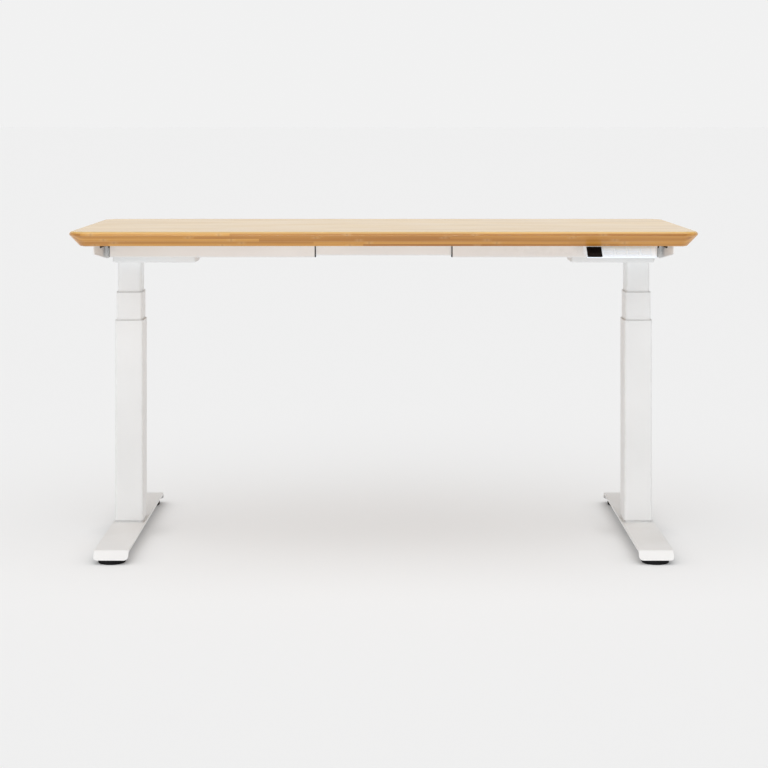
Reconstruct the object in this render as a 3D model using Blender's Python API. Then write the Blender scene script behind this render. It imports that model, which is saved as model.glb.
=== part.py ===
"""Height adjustable standing desk: a bevelled top on two three-stage lifting legs.

Metres, +Z up. X runs along the desk's width, Y from its front to its back, and the origin lies on the
floor below the middle of the desktop. Every height is stacked up from the floor, and every place along
X and Y is worked out from the desktop's own edges, so that a changed size carries its neighbours along.
"""
import math

import bmesh
import bpy
from mathutils import Matrix, Vector

# Desktop
DESK_WIDTH = 1.535
DESK_DEPTH = 0.610
TOP_THICKNESS = 0.036
TOP_CORNER_RADIUS = 0.045
TOP_ROUNDOVER_WIDTH = 0.009
TOP_ROUNDOVER_HEIGHT = 0.0065
TOP_BEVEL_WIDTH = 0.026
TOP_BEVEL_HEIGHT = 0.027

# Feet and their levelling glides
LEG_INSET = 0.1135
FOOT_LENGTH = 0.710
FOOT_WIDTH = 0.084
FOOT_PLATE = 0.006
FOOT_LIP_DROP = 0.021
FOOT_LIP_REACH = 0.021
FOOT_BEND_RADIUS = 0.008
FOOT_CORNER_RADIUS = 0.010
FOOT_PAD_HEIGHT = 0.005
FOOT_PAD_INSET = 0.003
GLIDE_RADIUS = 0.033
GLIDE_HEIGHT = 0.010
GLIDE_STEM_RADIUS = 0.004
GLIDE_STEM_CLEARANCE = 0.0004
GLIDE_BOSS_RADIUS = 0.008
GLIDE_BOSS_LIFT = 0.0015

# Telescoping column tubes, outside sizes of the lowest one
OUTER_TUBE_X = 0.072
OUTER_TUBE_Y = 0.078
OUTER_TUBE_LENGTH = 0.513
TUBE_WALL = 0.0015
TUBE_CORNER_RADIUS = 0.006
STAGE_GAP = 0.0015
STAGE_FLOOR_CLEARANCE = 0.020
STAGE_REVEAL = 0.005
STAGE_PLATE = 0.003
INNER_FLOOR_CLEARANCE = 0.016
COLLAR_RIM = 0.002
COLLAR_SLEEVE = 0.022
COLLAR_CLEARANCE = 0.0004
REST_LIFT = 0.130

# Nested lifting spindles, from the middle of the column outwards
SCREW_RADIUS = 0.006
SCREW_CLEARANCE = 0.0004
DRIVE_CLEARANCE = 0.001
HOLLOW_SCREW_WALL = 0.003
NUT_TUBE_WALL = 0.003
NUT_LENGTH = 0.025
NUT_TUBE_FLANGE = 0.006
NUT_TUBE_FLANGE_HEIGHT = 0.004
SCREW_HEAD_OVERHANG = 0.003
SCREW_HEAD_HEIGHT = 0.005
SCREW_FLOOR_CLEARANCE = 0.019
SCREW_PARK_GAP = 0.010

# Gear head at the top of each leg
HEAD_CLEARANCE = 0.011
HEAD_WALL = 0.002
HEAD_MOTOR_ROOM = 0.0025
HEAD_SPARE_HEIGHT = 0.016
HEAD_INBOARD = 0.174
HEAD_OUTBOARD = 0.041
HEAD_CORNER_RADIUS = 0.007
HEAD_EDGE_RADIUS = 0.004
HEAD_FLOOR_HOLE = 0.010
LEAD_HOLE_RADIUS = 0.004
GEARBOX_WALL = 0.004
GEAR_CLEARANCE = 0.001
JOURNAL_RADIUS = 0.005
WHEEL_RADIUS = 0.019
WHEEL_THICKNESS = 0.012
WORM_RADIUS = 0.0052
WORM_LENGTH = 0.034
SHAFT_RADIUS = 0.003
MOTOR_RADIUS = 0.021
MOTOR_LENGTH = 0.096
MOTOR_BORE_DEPTH = 0.030
MOTOR_NOSE_RADIUS = 0.009
MOTOR_NOSE_LENGTH = 0.006

# Steel frame under the desktop
RAIL_HEIGHT = 0.039
RAIL_DEPTH = 0.030
RAIL_WALL = 0.002
RAIL_CORNER_RADIUS = 0.003
RAIL_OFFSET = 0.105
RAIL_SECTION_LENGTH = 0.517
RAIL_OUTBOARD = 0.037
RAIL_OVERLAP = 0.110
CENTRE_RAIL_HEIGHT = 0.032
CENTRE_RAIL_SIDE_GAP = 0.001
RAIL_LEAD_HOLE_RADIUS = 0.006
BRACKET_SHEET = 0.0025
BRACKET_OUTBOARD = 0.056
BRACKET_FLANGE = 0.025
BRACKET_EDGE_INSET = 0.050
BRACKET_END_HEIGHT = 0.0215
BRACKET_MIDDLE_HEIGHT = 0.044
BRACKET_TAPER = 0.205
BRACKET_BEND_RADIUS = 0.003
BRACKET_SLOT_OFFSET = 0.140
BRACKET_SLOT_LENGTH = 0.068
BRACKET_SLOT_HEIGHT = 0.009
BRACKET_SLOT_DROP = 0.004
SADDLE_SHEET = 0.003
SADDLE_INBOARD = 0.094
SADDLE_FLANGE_OUTBOARD = 0.035
SADDLE_TAB_WIDTH = 0.080

# Control box, its power inlet and the leads
BOX_LENGTH = 0.280
BOX_DEPTH = 0.110
BOX_HEIGHT = 0.038
BOX_WALL = 0.002
BOX_COVER = 0.003
BOX_CORNER_RADIUS = 0.005
INLET_WIDTH = 0.028
INLET_HEIGHT = 0.020
INLET_DEPTH = 0.010
INLET_WALL = 0.003
INLET_OFFSET = 0.090
LEAD_RADIUS = 0.0024

# Handset under the front edge, on the right
HANDSET_EDGE_INSET = 0.1049
HANDSET_FACE_INSET = 0.043
HANDSET_FACE_REACH = 0.033
HANDSET_FACE_DROP = 0.0255
HANDSET_BACK = 0.060
HANDSET_BACK_HEIGHT = 0.020
HANDSET_NOSE = 0.0022
HANDSET_WALL = 0.0022
HANDSET_EDGE_BEVEL = 0.0015
DISPLAY_LENGTH = 0.036
DISPLAY_WIDTH = 0.0370
DISPLAY_DROP = 0.0008
DISPLAY_THICKNESS = 0.0014
DISPLAY_PROUD = 0.0003
DISPLAY_EDGE_INSET = 0.0018
KEY_LENGTH = 0.0245
KEY_WIDTH = 0.0125
KEY_SPACING = 0.0300
KEY_ROW_SPACING = 0.0150
KEY_THICKNESS = 0.0030
KEY_PROUD = 0.0006
KEY_CORNER_RADIUS = 0.002
KEY_CLEARANCE = 0.0004
KEY_COLUMNS = 4
DISPLAY_KEY_GAP = 0.0045
KEYS_END_MARGIN = 0.0126

GAP = 0.0003          # left between two pieces that touch or are fixed to each other
ROUND_STEPS = 3       # segments in each rounded corner
CIRCLE_STEPS = 24     # segments in a full circle
SIDES = (("left", -1), ("right", 1))
ENDS = (("front", -1), ("rear", 1))

# Places worked out from the sizes
LEG_X = DESK_WIDTH / 2 - LEG_INSET
LIP_BOTTOM = GLIDE_HEIGHT + GAP
FOOT_TOP = GLIDE_HEIGHT + FOOT_LIP_DROP
COLUMN_BASE = FOOT_TOP + FOOT_PAD_HEIGHT
OUTER_TOP = COLUMN_BASE + OUTER_TUBE_LENGTH
MIDDLE_BASE = COLUMN_BASE + STAGE_FLOOR_CLEARANCE + REST_LIFT / 2
MIDDLE_TOP = OUTER_TOP + COLLAR_RIM + STAGE_REVEAL + REST_LIFT / 2
HEAD_BASE = OUTER_TOP + 2 * COLLAR_RIM + STAGE_REVEAL + HEAD_CLEARANCE + REST_LIFT
HEAD_HEIGHT = 2 * MOTOR_RADIUS + HEAD_SPARE_HEIGHT
INNER_BASE = MIDDLE_BASE + STAGE_PLATE + INNER_FLOOR_CLEARANCE + REST_LIFT / 2
UNDERSIDE = HEAD_BASE + HEAD_HEIGHT
STAGE_STEP = 2 * (TUBE_WALL + STAGE_GAP)
HOLLOW_BORE = SCREW_RADIUS + DRIVE_CLEARANCE
HOLLOW_RADIUS = HOLLOW_BORE + HOLLOW_SCREW_WALL
BASE_TUBE_BORE = HOLLOW_RADIUS + DRIVE_CLEARANCE
BASE_TUBE_RADIUS = BASE_TUBE_BORE + NUT_TUBE_WALL
MIDDLE_TUBE_BORE = BASE_TUBE_RADIUS + DRIVE_CLEARANCE
MIDDLE_TUBE_RADIUS = MIDDLE_TUBE_BORE + NUT_TUBE_WALL
MIDDLE_NUT_TOP = MIDDLE_TOP + COLLAR_RIM
MIDDLE_NUT_BASE = MIDDLE_NUT_TOP - NUT_LENGTH
HOLLOW_SCREW_BASE = COLUMN_BASE + SCREW_FLOOR_CLEARANCE + REST_LIFT / 2
BASE_TUBE_TOP = MIDDLE_NUT_BASE - REST_LIFT / 2 - SCREW_PARK_GAP
GEAR_Z = HEAD_BASE + HEAD_HEIGHT / 2 - GAP - SADDLE_SHEET / 2
WORM_Y = WHEEL_RADIUS + WORM_RADIUS + GAP
HEAD_DEPTH = 2 * (WORM_Y + MOTOR_RADIUS + HEAD_MOTOR_ROOM + HEAD_WALL)
GEARBOX_INBOARD = WHEEL_RADIUS + GEAR_CLEARANCE + GEARBOX_WALL + WORM_LENGTH / 4
RAIL_TOP = UNDERSIDE - GAP
RAIL_OUTER_X = LEG_X + RAIL_OUTBOARD
RAIL_INNER_X = RAIL_OUTER_X - RAIL_SECTION_LENGTH
SADDLE_OUTER_X = LEG_X + BRACKET_OUTBOARD - BRACKET_SHEET - GAP
SADDLE_HALF_DEPTH = RAIL_OFFSET - RAIL_DEPTH / 2 - GAP
HEAD_RIM = UNDERSIDE - 2 * GAP - SADDLE_SHEET
BOX_TOP = UNDERSIDE - GAP
LEAD_Z = UNDERSIDE - BOX_HEIGHT / 2
KEYS_START = DISPLAY_EDGE_INSET + DISPLAY_LENGTH + DISPLAY_KEY_GAP + KEY_LENGTH / 2
HANDSET_LENGTH = KEYS_START + (KEY_COLUMNS - 1) * KEY_SPACING + KEY_LENGTH / 2 + KEYS_END_MARGIN
HANDSET_RIGHT = DESK_WIDTH / 2 - HANDSET_EDGE_INSET
HANDSET_LEFT = HANDSET_RIGHT - HANDSET_LENGTH
FACE_TOP_Y = HANDSET_FACE_INSET - DESK_DEPTH / 2
HANDSET_BACK_Y = FACE_TOP_Y + HANDSET_BACK
FACE_TILT = math.atan2(HANDSET_FACE_DROP, HANDSET_FACE_REACH)
FACE_MIDDLE = Vector((0.0, FACE_TOP_Y - HANDSET_FACE_REACH / 2, RAIL_TOP - HANDSET_FACE_DROP / 2))
HANDSET_LEAD_X = HANDSET_LEFT + DISPLAY_LENGTH / 2


def clear_scene():
    """Remove whatever objects the scene holds."""
    for item in list(bpy.data.objects):
        bpy.data.objects.remove(item, do_unlink=True)


def finish(name, colour, roughness, metallic=0.0):
    """One Principled material."""
    material = bpy.data.materials.new(name)
    material.use_nodes = True
    shader = material.node_tree.nodes["Principled BSDF"]
    shader.inputs["Base Color"].default_value = (*colour, 1.0)
    shader.inputs["Roughness"].default_value = roughness
    shader.inputs["Metallic"].default_value = metallic
    material.diffuse_color = (*colour, 1.0)
    return material


def rounded(corners, radii, steps=ROUND_STEPS):
    """Closed outline with each corner replaced by an arc of its own radius."""
    points = []
    for index, corner in enumerate(corners):
        corner = Vector(corner)
        radius = radii[index] if isinstance(radii, (list, tuple)) else radii
        if radius <= 0.0:
            points.append(corner)
            continue
        before = (Vector(corners[index - 1]) - corner).normalized()
        after = (Vector(corners[(index + 1) % len(corners)]) - corner).normalized()
        half_angle = before.angle(after) / 2
        centre = corner + (before + after).normalized() * (radius / math.sin(half_angle))
        start = corner + before * (radius / math.tan(half_angle)) - centre
        sweep = math.pi - 2 * half_angle
        if before.x * after.y - before.y * after.x > 0.0:
            sweep = -sweep
        for step in range(steps + 1):
            turn = Matrix.Rotation(sweep * step / steps, 2)
            points.append(centre + turn @ start)
    return points


def rectangle(width, depth, radius, steps=ROUND_STEPS):
    """Rounded rectangle about the origin, anticlockwise."""
    x, y = width / 2, depth / 2
    return rounded([(-x, -y), (x, -y), (x, y), (-x, y)], min(radius, 0.98 * min(x, y)), steps)


def circle(radius, steps=CIRCLE_STEPS):
    """Circle about the origin, anticlockwise."""
    return [Vector((radius * math.cos(math.tau * i / steps), radius * math.sin(math.tau * i / steps)))
            for i in range(steps)]


def skin(name, rings, axis="Z", hollow=False, smooth=False):
    """Closed mesh through a list of (outline, place along the axis) rings.

    A hollow body joins its last ring to its first one. Any other has flat ends.
    """
    shape = bmesh.new()
    loops = []
    for outline, along in rings:
        if axis == "X":
            loops.append([shape.verts.new((along, p[0], p[1])) for p in outline])
        elif axis == "Y":
            loops.append([shape.verts.new((p[1], along, p[0])) for p in outline])
        else:
            loops.append([shape.verts.new((p[0], p[1], along)) for p in outline])
    pairs = list(zip(loops, loops[1:]))
    if hollow:
        pairs.append((loops[-1], loops[0]))
    else:
        shape.faces.new(list(reversed(loops[0])))
        shape.faces.new(loops[-1])
    for low, high in pairs:
        for i in range(len(low)):
            j = (i + 1) % len(low)
            shape.faces.new((low[i], low[j], high[j], high[i]))
    bmesh.ops.recalc_face_normals(shape, faces=shape.faces)
    mesh = bpy.data.meshes.new(name)
    shape.to_mesh(mesh)
    shape.free()
    if smooth:
        mesh.shade_smooth()
        mesh.set_sharp_from_angle(angle=math.radians(35))
    return mesh


def block(name, low, high, radius=0.0):
    """Upright block between two corners, with rounded upright edges where a radius is given."""
    size = Vector(high) - Vector(low)
    middle = (Vector(high) + Vector(low)) / 2
    x, y = size.x / 2, size.y / 2
    outline = rounded([(-x, -y), (x, -y), (x, y), (-x, y)], radius)
    mesh = skin(name, [(outline, -size.z / 2), (outline, size.z / 2)])
    mesh.transform(Matrix.Translation(middle))
    return mesh


def turned(name, profile, axis="Z", hollow=False):
    """Round body from (radius, place along the axis) pairs."""
    return skin(name, [(circle(radius), along) for radius, along in profile], axis, hollow, smooth=True)


def world_place(item):
    """Place of an unturned object, added up over its parents."""
    place = Vector()
    while item is not None:
        place += item.location
        item = item.parent
    return place


def holder(name, place, parent=None):
    """Empty that carries the pieces of one moving body, with its origin on the joint's axis."""
    item = bpy.data.objects.new(name, None)
    bpy.context.scene.collection.objects.link(item)
    item.parent = parent
    item.location = Vector(place) - (world_place(parent) if parent else Vector())
    return item


def add(name, mesh, material, parent, place=(0.0, 0.0, 0.0), tilt=0.0):
    """Link one named piece at its place in the world, turned by TILT about X, under its holder."""
    mesh.name = name
    mesh.materials.clear()
    mesh.materials.append(material)
    piece = bpy.data.objects.new(name, mesh)
    bpy.context.scene.collection.objects.link(piece)
    piece.parent = parent
    piece.location = Vector(place) - world_place(parent)
    piece.rotation_euler.x = tilt
    return piece


def combine(piece, mesh, operation, place=(0.0, 0.0, 0.0), tilt=0.0):
    """Join, cut or crop a piece with a hidden shape at a place in the world."""
    cutter = bpy.data.objects.new(piece.name + "_" + operation.lower(), mesh)
    bpy.context.scene.collection.objects.link(cutter)
    cutter.parent = piece.parent
    cutter.location = Vector(place) - world_place(piece.parent)
    cutter.rotation_euler.x = tilt
    cutter.hide_render = True
    cutter.display_type = "WIRE"
    change = piece.modifiers.new(operation.lower(), "BOOLEAN")
    change.operation = operation
    change.object = cutter


def desktop():
    """Bamboo panel: rounded upper edge, a short nose, and a broad bevel cut back underneath."""
    start = TOP_THICKNESS - TOP_ROUNDOVER_HEIGHT
    profile = [(TOP_BEVEL_WIDTH, 0.0), (0.0, TOP_BEVEL_HEIGHT), (0.0, start)]
    for step in range(1, ROUND_STEPS + 1):
        angle = math.pi / 2 * step / ROUND_STEPS
        inset = TOP_ROUNDOVER_WIDTH * (1 - math.cos(angle))
        profile.append((inset, start + TOP_ROUNDOVER_HEIGHT * math.sin(angle)))
    rings = [(rectangle(DESK_WIDTH - 2 * inset, DESK_DEPTH - 2 * inset, TOP_CORNER_RADIUS - inset, 6), z)
             for inset, z in profile]
    add("desktop", skin("desktop", rings), bamboo, lift, (0, 0, UNDERSIDE))


def foot(name, x):
    """Thick steel plate, bent down into a lip at each end, with a column pad and two threaded bosses."""
    half = FOOT_LENGTH / 2
    crease = half - FOOT_LIP_REACH
    slope = math.atan2(FOOT_LIP_DROP - GAP, FOOT_LIP_REACH)
    under_end = half - FOOT_PLATE / math.sin(slope)
    under_crease = crease - FOOT_PLATE * math.tan(slope / 2)
    under = FOOT_TOP - FOOT_PLATE
    outline = [(-half, LIP_BOTTOM), (-under_end, LIP_BOTTOM), (-under_crease, under), (under_crease, under),
               (under_end, LIP_BOTTOM), (half, LIP_BOTTOM), (crease, FOOT_TOP), (-crease, FOOT_TOP)]
    inside = FOOT_BEND_RADIUS - FOOT_PLATE
    bends = [0, 0, inside, inside, 0, 0, FOOT_BEND_RADIUS, FOOT_BEND_RADIUS]
    profile = rounded(outline, bends)
    plate = skin(name, [(profile, -FOOT_WIDTH / 2), (profile, FOOT_WIDTH / 2)], "X")
    piece = add(name, plate, white_coat, base, (x, 0, 0))
    plan = rectangle(FOOT_WIDTH, FOOT_LENGTH, FOOT_CORNER_RADIUS)
    combine(piece, skin("foot_plan", [(plan, 0.0), (plan, 2 * FOOT_TOP)]), "INTERSECT", (x, 0, 0))
    pad = rectangle(OUTER_TUBE_X - 2 * FOOT_PAD_INSET, OUTER_TUBE_Y - 2 * FOOT_PAD_INSET, TUBE_CORNER_RADIUS)
    combine(piece, skin("foot_pad", [(pad, under + GAP), (pad, COLUMN_BASE - GAP)]), "UNION", (x, 0, 0))
    for _, end in ENDS:
        place = (x, end * (half - GLIDE_RADIUS), 0)
        boss = [(GLIDE_BOSS_RADIUS, GLIDE_HEIGHT + GLIDE_BOSS_LIFT), (GLIDE_BOSS_RADIUS, under + GAP)]
        combine(piece, turned("foot_boss", boss), "UNION", place)
    for _, end in ENDS:
        place = (x, end * (half - GLIDE_RADIUS), 0)
        bore = GLIDE_STEM_RADIUS + GLIDE_STEM_CLEARANCE
        hole = [(bore, 0.0), (bore, FOOT_TOP - FOOT_PLATE / 2)]
        combine(piece, turned("foot_bore", hole), "DIFFERENCE", place)


def glide(name, x, y):
    """Black levelling foot: a low disc with a threaded stem, on the stem's axis."""
    rest = holder(name + "_axis", (x, y, 0), base)
    stem_top = FOOT_TOP - FOOT_PLATE / 2 - GAP
    edge = GLIDE_HEIGHT / 5
    profile = [(GLIDE_RADIUS - edge, 0.0), (GLIDE_RADIUS, edge), (GLIDE_RADIUS, GLIDE_HEIGHT - edge),
               (GLIDE_RADIUS - edge, GLIDE_HEIGHT), (GLIDE_STEM_RADIUS, GLIDE_HEIGHT),
               (GLIDE_STEM_RADIUS, stem_top)]
    add(name, turned(name, profile), black_plastic, rest, (x, y, 0))


def tube_rings(width, depth, low, high):
    """Four rings of an open rounded box tube with the common wall."""
    outside = rectangle(width, depth, TUBE_CORNER_RADIUS)
    inside = rectangle(width - 2 * TUBE_WALL, depth - 2 * TUBE_WALL, TUBE_CORNER_RADIUS - TUBE_WALL)
    return [(outside, low), (outside, high), (inside, high), (inside, low)]


def collar(name, width, depth, x, top, parent):
    """Plastic guide: a thin rim on the tube's mouth and a sleeve in the gap that the next tube slides in."""
    seat = TUBE_WALL + GAP
    throat = TUBE_WALL + STAGE_GAP - COLLAR_CLEARANCE
    section = [(0.0, GAP), (0.0, COLLAR_RIM), (throat, COLLAR_RIM), (throat, -COLLAR_SLEEVE),
               (seat, -COLLAR_SLEEVE), (seat, GAP)]
    rings = [(rectangle(width - 2 * inset, depth - 2 * inset, TUBE_CORNER_RADIUS - inset), z)
             for inset, z in section]
    add(name, skin(name, rings, hollow=True), grey_plastic, parent, (x, 0, top))


def column(side, x):
    """Three nested tubes and two guide collars of one leg."""
    name = "outer_tube_" + side
    add(name, skin(name, tube_rings(OUTER_TUBE_X, OUTER_TUBE_Y, 0.0, OUTER_TUBE_LENGTH), hollow=True),
        white_coat, base, (x, 0, COLUMN_BASE))
    collar("lower_collar_" + side, OUTER_TUBE_X, OUTER_TUBE_Y, x, OUTER_TOP, base)

    middle = holders["middle_" + side]
    width, depth = OUTER_TUBE_X - STAGE_STEP, OUTER_TUBE_Y - STAGE_STEP
    rings = tube_rings(width, depth, 0.0, MIDDLE_TOP - MIDDLE_BASE)
    inside = rings[-1][0]
    bore = MIDDLE_TUBE_BORE
    hole = rectangle(2 * bore, 2 * bore, 0.8 * bore)
    rings = rings[:-1] + [(inside, STAGE_PLATE), (hole, STAGE_PLATE), (hole, 0.0)]
    name = "middle_tube_" + side
    add(name, skin(name, rings, hollow=True), white_coat, middle, (x, 0, MIDDLE_BASE))
    collar("upper_collar_" + side, width, depth, x, MIDDLE_TOP, middle)

    name = "inner_tube_" + side
    rings = tube_rings(width - STAGE_STEP, depth - STAGE_STEP, 0.0, HEAD_BASE - GAP - INNER_BASE)
    add(name, skin(name, rings, hollow=True), white_coat, lift, (x, 0, INNER_BASE))


def lifting_screws(side, x):
    """Two spindles and the two nut tubes that they climb, one inside the other on the column's axis."""
    low = COLUMN_BASE
    flange = BASE_TUBE_RADIUS + NUT_TUBE_FLANGE
    nut = HOLLOW_RADIUS + SCREW_CLEARANCE
    profile = [(flange, low), (flange, low + NUT_TUBE_FLANGE_HEIGHT),
               (BASE_TUBE_RADIUS, low + NUT_TUBE_FLANGE_HEIGHT), (BASE_TUBE_RADIUS, BASE_TUBE_TOP),
               (nut, BASE_TUBE_TOP), (nut, BASE_TUBE_TOP - NUT_LENGTH),
               (BASE_TUBE_BORE, BASE_TUBE_TOP - NUT_LENGTH), (BASE_TUBE_BORE, low)]
    name = "base_nut_tube_" + side
    add(name, turned(name, profile, hollow=True), zinc_steel, base, (x, 0, 0))

    head = HOLLOW_RADIUS + SCREW_HEAD_OVERHANG
    top = MIDDLE_NUT_BASE - GAP
    profile = [(HOLLOW_RADIUS, HOLLOW_SCREW_BASE), (HOLLOW_RADIUS, top - SCREW_HEAD_HEIGHT),
               (head, top - SCREW_HEAD_HEIGHT), (head, top), (HOLLOW_BORE, top),
               (HOLLOW_BORE, HOLLOW_SCREW_BASE)]
    name = "outer_spindle_" + side
    add(name, turned(name, profile, hollow=True), screw_steel, holders[name], (x, 0, 0))

    low = MIDDLE_BASE + STAGE_PLATE + GAP
    nut = SCREW_RADIUS + SCREW_CLEARANCE
    profile = [(MIDDLE_TUBE_RADIUS, low), (MIDDLE_TUBE_RADIUS, MIDDLE_NUT_TOP), (nut, MIDDLE_NUT_TOP),
               (nut, MIDDLE_NUT_BASE), (MIDDLE_TUBE_BORE, MIDDLE_NUT_BASE), (MIDDLE_TUBE_BORE, low)]
    name = "middle_nut_tube_" + side
    add(name, turned(name, profile, hollow=True), zinc_steel, holders["middle_" + side], (x, 0, 0))

    shoulder = GEAR_Z - WHEEL_THICKNESS / 2 - GAP
    profile = [(SCREW_RADIUS, INNER_BASE), (SCREW_RADIUS, shoulder), (JOURNAL_RADIUS, shoulder),
               (JOURNAL_RADIUS, GEAR_Z + WHEEL_THICKNESS)]
    name = "inner_spindle_" + side
    add(name, turned(name, profile), screw_steel, holders[name], (x, 0, 0))


def span(x, side, inboard, outboard):
    """Low and high X of a piece that reaches INBOARD and OUTBOARD of a leg's axis."""
    return sorted((x - side * inboard, x + side * outboard))


def motor_housing(name, x, side):
    """Open-topped steel tray that holds the gears and the motor; the inner column is welded below it."""
    low, high = span(x, side, HEAD_INBOARD, HEAD_OUTBOARD)
    width = high - low
    top = HEAD_RIM - HEAD_BASE
    edge = HEAD_EDGE_RADIUS

    def outline(inset):
        return rectangle(width - 2 * inset, HEAD_DEPTH - 2 * inset, HEAD_CORNER_RADIUS - inset)

    rings = [(outline(HEAD_WALL), HEAD_WALL), (outline(HEAD_WALL), top), (outline(0.0), top)]
    for step in range(ROUND_STEPS + 1):
        angle = math.pi / 2 * step / ROUND_STEPS
        rings.append((outline(edge * (1 - math.cos(angle))), edge * (1 - math.sin(angle))))
    mesh = skin(name, rings)
    middle_x = (low + high) / 2
    piece = add(name, mesh, white_coat, lift, (middle_x, 0, HEAD_BASE))
    hole = [(HEAD_FLOOR_HOLE, -HEAD_WALL), (HEAD_FLOOR_HOLE, 2 * HEAD_WALL)]
    combine(piece, turned("spindle_hole", hole), "DIFFERENCE", (x, 0, HEAD_BASE))
    wall_x = x - side * HEAD_INBOARD
    hole = [(LEAD_HOLE_RADIUS, -2 * HEAD_WALL), (LEAD_HOLE_RADIUS, 2 * HEAD_WALL)]
    combine(piece, turned("lead_hole", hole, "X"), "DIFFERENCE", (wall_x, 0, LEAD_Z))


def gear_drive(side_name, x, side):
    """Cast gearbox, worm wheel on the spindle, worm on the motor shaft, and the motor."""
    pocket = WHEEL_RADIUS + GEAR_CLEARANCE
    bore = WORM_RADIUS + GEAR_CLEARANCE
    floor = HEAD_BASE + HEAD_WALL + GAP
    top = GEAR_Z + WHEEL_THICKNESS + GEAR_CLEARANCE
    low, high = span(x, side, GEARBOX_INBOARD, pocket + GEARBOX_WALL)
    name = "gearbox_" + side_name
    case = block(name, (low, -pocket - GEARBOX_WALL, floor), (high, WORM_Y + bore + GEARBOX_WALL, top),
                 GEARBOX_WALL)
    piece = add(name, case, cast_alloy, lift)
    hollow = [(pocket, GEAR_Z - WHEEL_THICKNESS / 2 - GEAR_CLEARANCE), (pocket, top + GEARBOX_WALL)]
    combine(piece, turned("wheel_pocket", hollow), "DIFFERENCE", (x, 0, 0))
    hole = SCREW_RADIUS + SCREW_CLEARANCE
    combine(piece, turned("spindle_bore", [(hole, HEAD_BASE), (hole, GEAR_Z)]), "DIFFERENCE", (x, 0, 0))
    start, end = span(0.0, side, GEARBOX_INBOARD + GEARBOX_WALL, WORM_LENGTH / 2 + GEAR_CLEARANCE)
    combine(piece, turned("worm_bore", [(bore, start), (bore, end)], "X"), "DIFFERENCE", (x, WORM_Y, GEAR_Z))

    name = "worm_wheel_" + side_name
    hole = JOURNAL_RADIUS + GAP
    half = WHEEL_THICKNESS / 2
    profile = [(WHEEL_RADIUS, -half), (WHEEL_RADIUS, half), (hole, half), (hole, -half)]
    wheel = turned(name, profile, hollow=True)
    add(name, wheel, bronze, holders["inner_spindle_" + side_name], (x, 0, GEAR_Z))

    name = "worm_shaft_" + side_name
    face = GEARBOX_INBOARD + GAP
    inner_end = face + MOTOR_NOSE_LENGTH + MOTOR_BORE_DEPTH - GEAR_CLEARANCE
    worm = WORM_LENGTH / 2
    profile = [(SHAFT_RADIUS, -side * inner_end), (SHAFT_RADIUS, -side * worm), (WORM_RADIUS, -side * worm),
               (WORM_RADIUS, side * worm)]
    add(name, turned(name, profile, "X"), screw_steel, holders[name], (x, WORM_Y, GEAR_Z))

    name = "motor_" + side_name
    hole = SHAFT_RADIUS + GEAR_CLEARANCE / 2
    nose = face + MOTOR_NOSE_LENGTH
    profile = [(hole, face), (MOTOR_NOSE_RADIUS, face), (MOTOR_NOSE_RADIUS, nose), (MOTOR_RADIUS, nose),
               (MOTOR_RADIUS, nose + MOTOR_LENGTH), (hole, nose + MOTOR_LENGTH)]
    body = [(radius, -side * along) for radius, along in profile]
    body.insert(0, (hole, -side * (nose + MOTOR_BORE_DEPTH)))
    add(name, turned(name, body[:-1], "X"), motor_steel, lift, (x, WORM_Y, GEAR_Z))


def saddle(name, x, side):
    """Folded steel cap over the gear head, bolted to both rails, with a narrower tab for the side bracket."""
    low, high = sorted((side * (LEG_X - SADDLE_INBOARD), side * SADDLE_OUTER_X))
    bottom = RAIL_TOP - RAIL_HEIGHT
    piece = add(name, block(name, (low, -SADDLE_HALF_DEPTH, bottom), (high, SADDLE_HALF_DEPTH, RAIL_TOP)),
                white_coat, lift)
    inside = SADDLE_HALF_DEPTH - SADDLE_SHEET
    cut_low, cut_high = sorted((side * (LEG_X - SADDLE_INBOARD - SADDLE_SHEET),
                                side * (SADDLE_OUTER_X - SADDLE_SHEET)))
    hollow = block("saddle_inside", (cut_low, -inside, bottom - SADDLE_SHEET),
                   (cut_high, inside, RAIL_TOP - SADDLE_SHEET))
    combine(piece, hollow, "DIFFERENCE")
    flange_x = side * (LEG_X + SADDLE_FLANGE_OUTBOARD)
    corner_low, corner_high = sorted((flange_x, side * (SADDLE_OUTER_X + SADDLE_SHEET)))
    for _, end in ENDS:
        near, far = sorted((end * SADDLE_TAB_WIDTH / 2, end * (SADDLE_HALF_DEPTH + SADDLE_SHEET)))
        corner = block("saddle_corner", (corner_low, near, bottom - SADDLE_SHEET),
                       (corner_high, far, RAIL_TOP - SADDLE_SHEET))
        combine(piece, corner, "DIFFERENCE")


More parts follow.
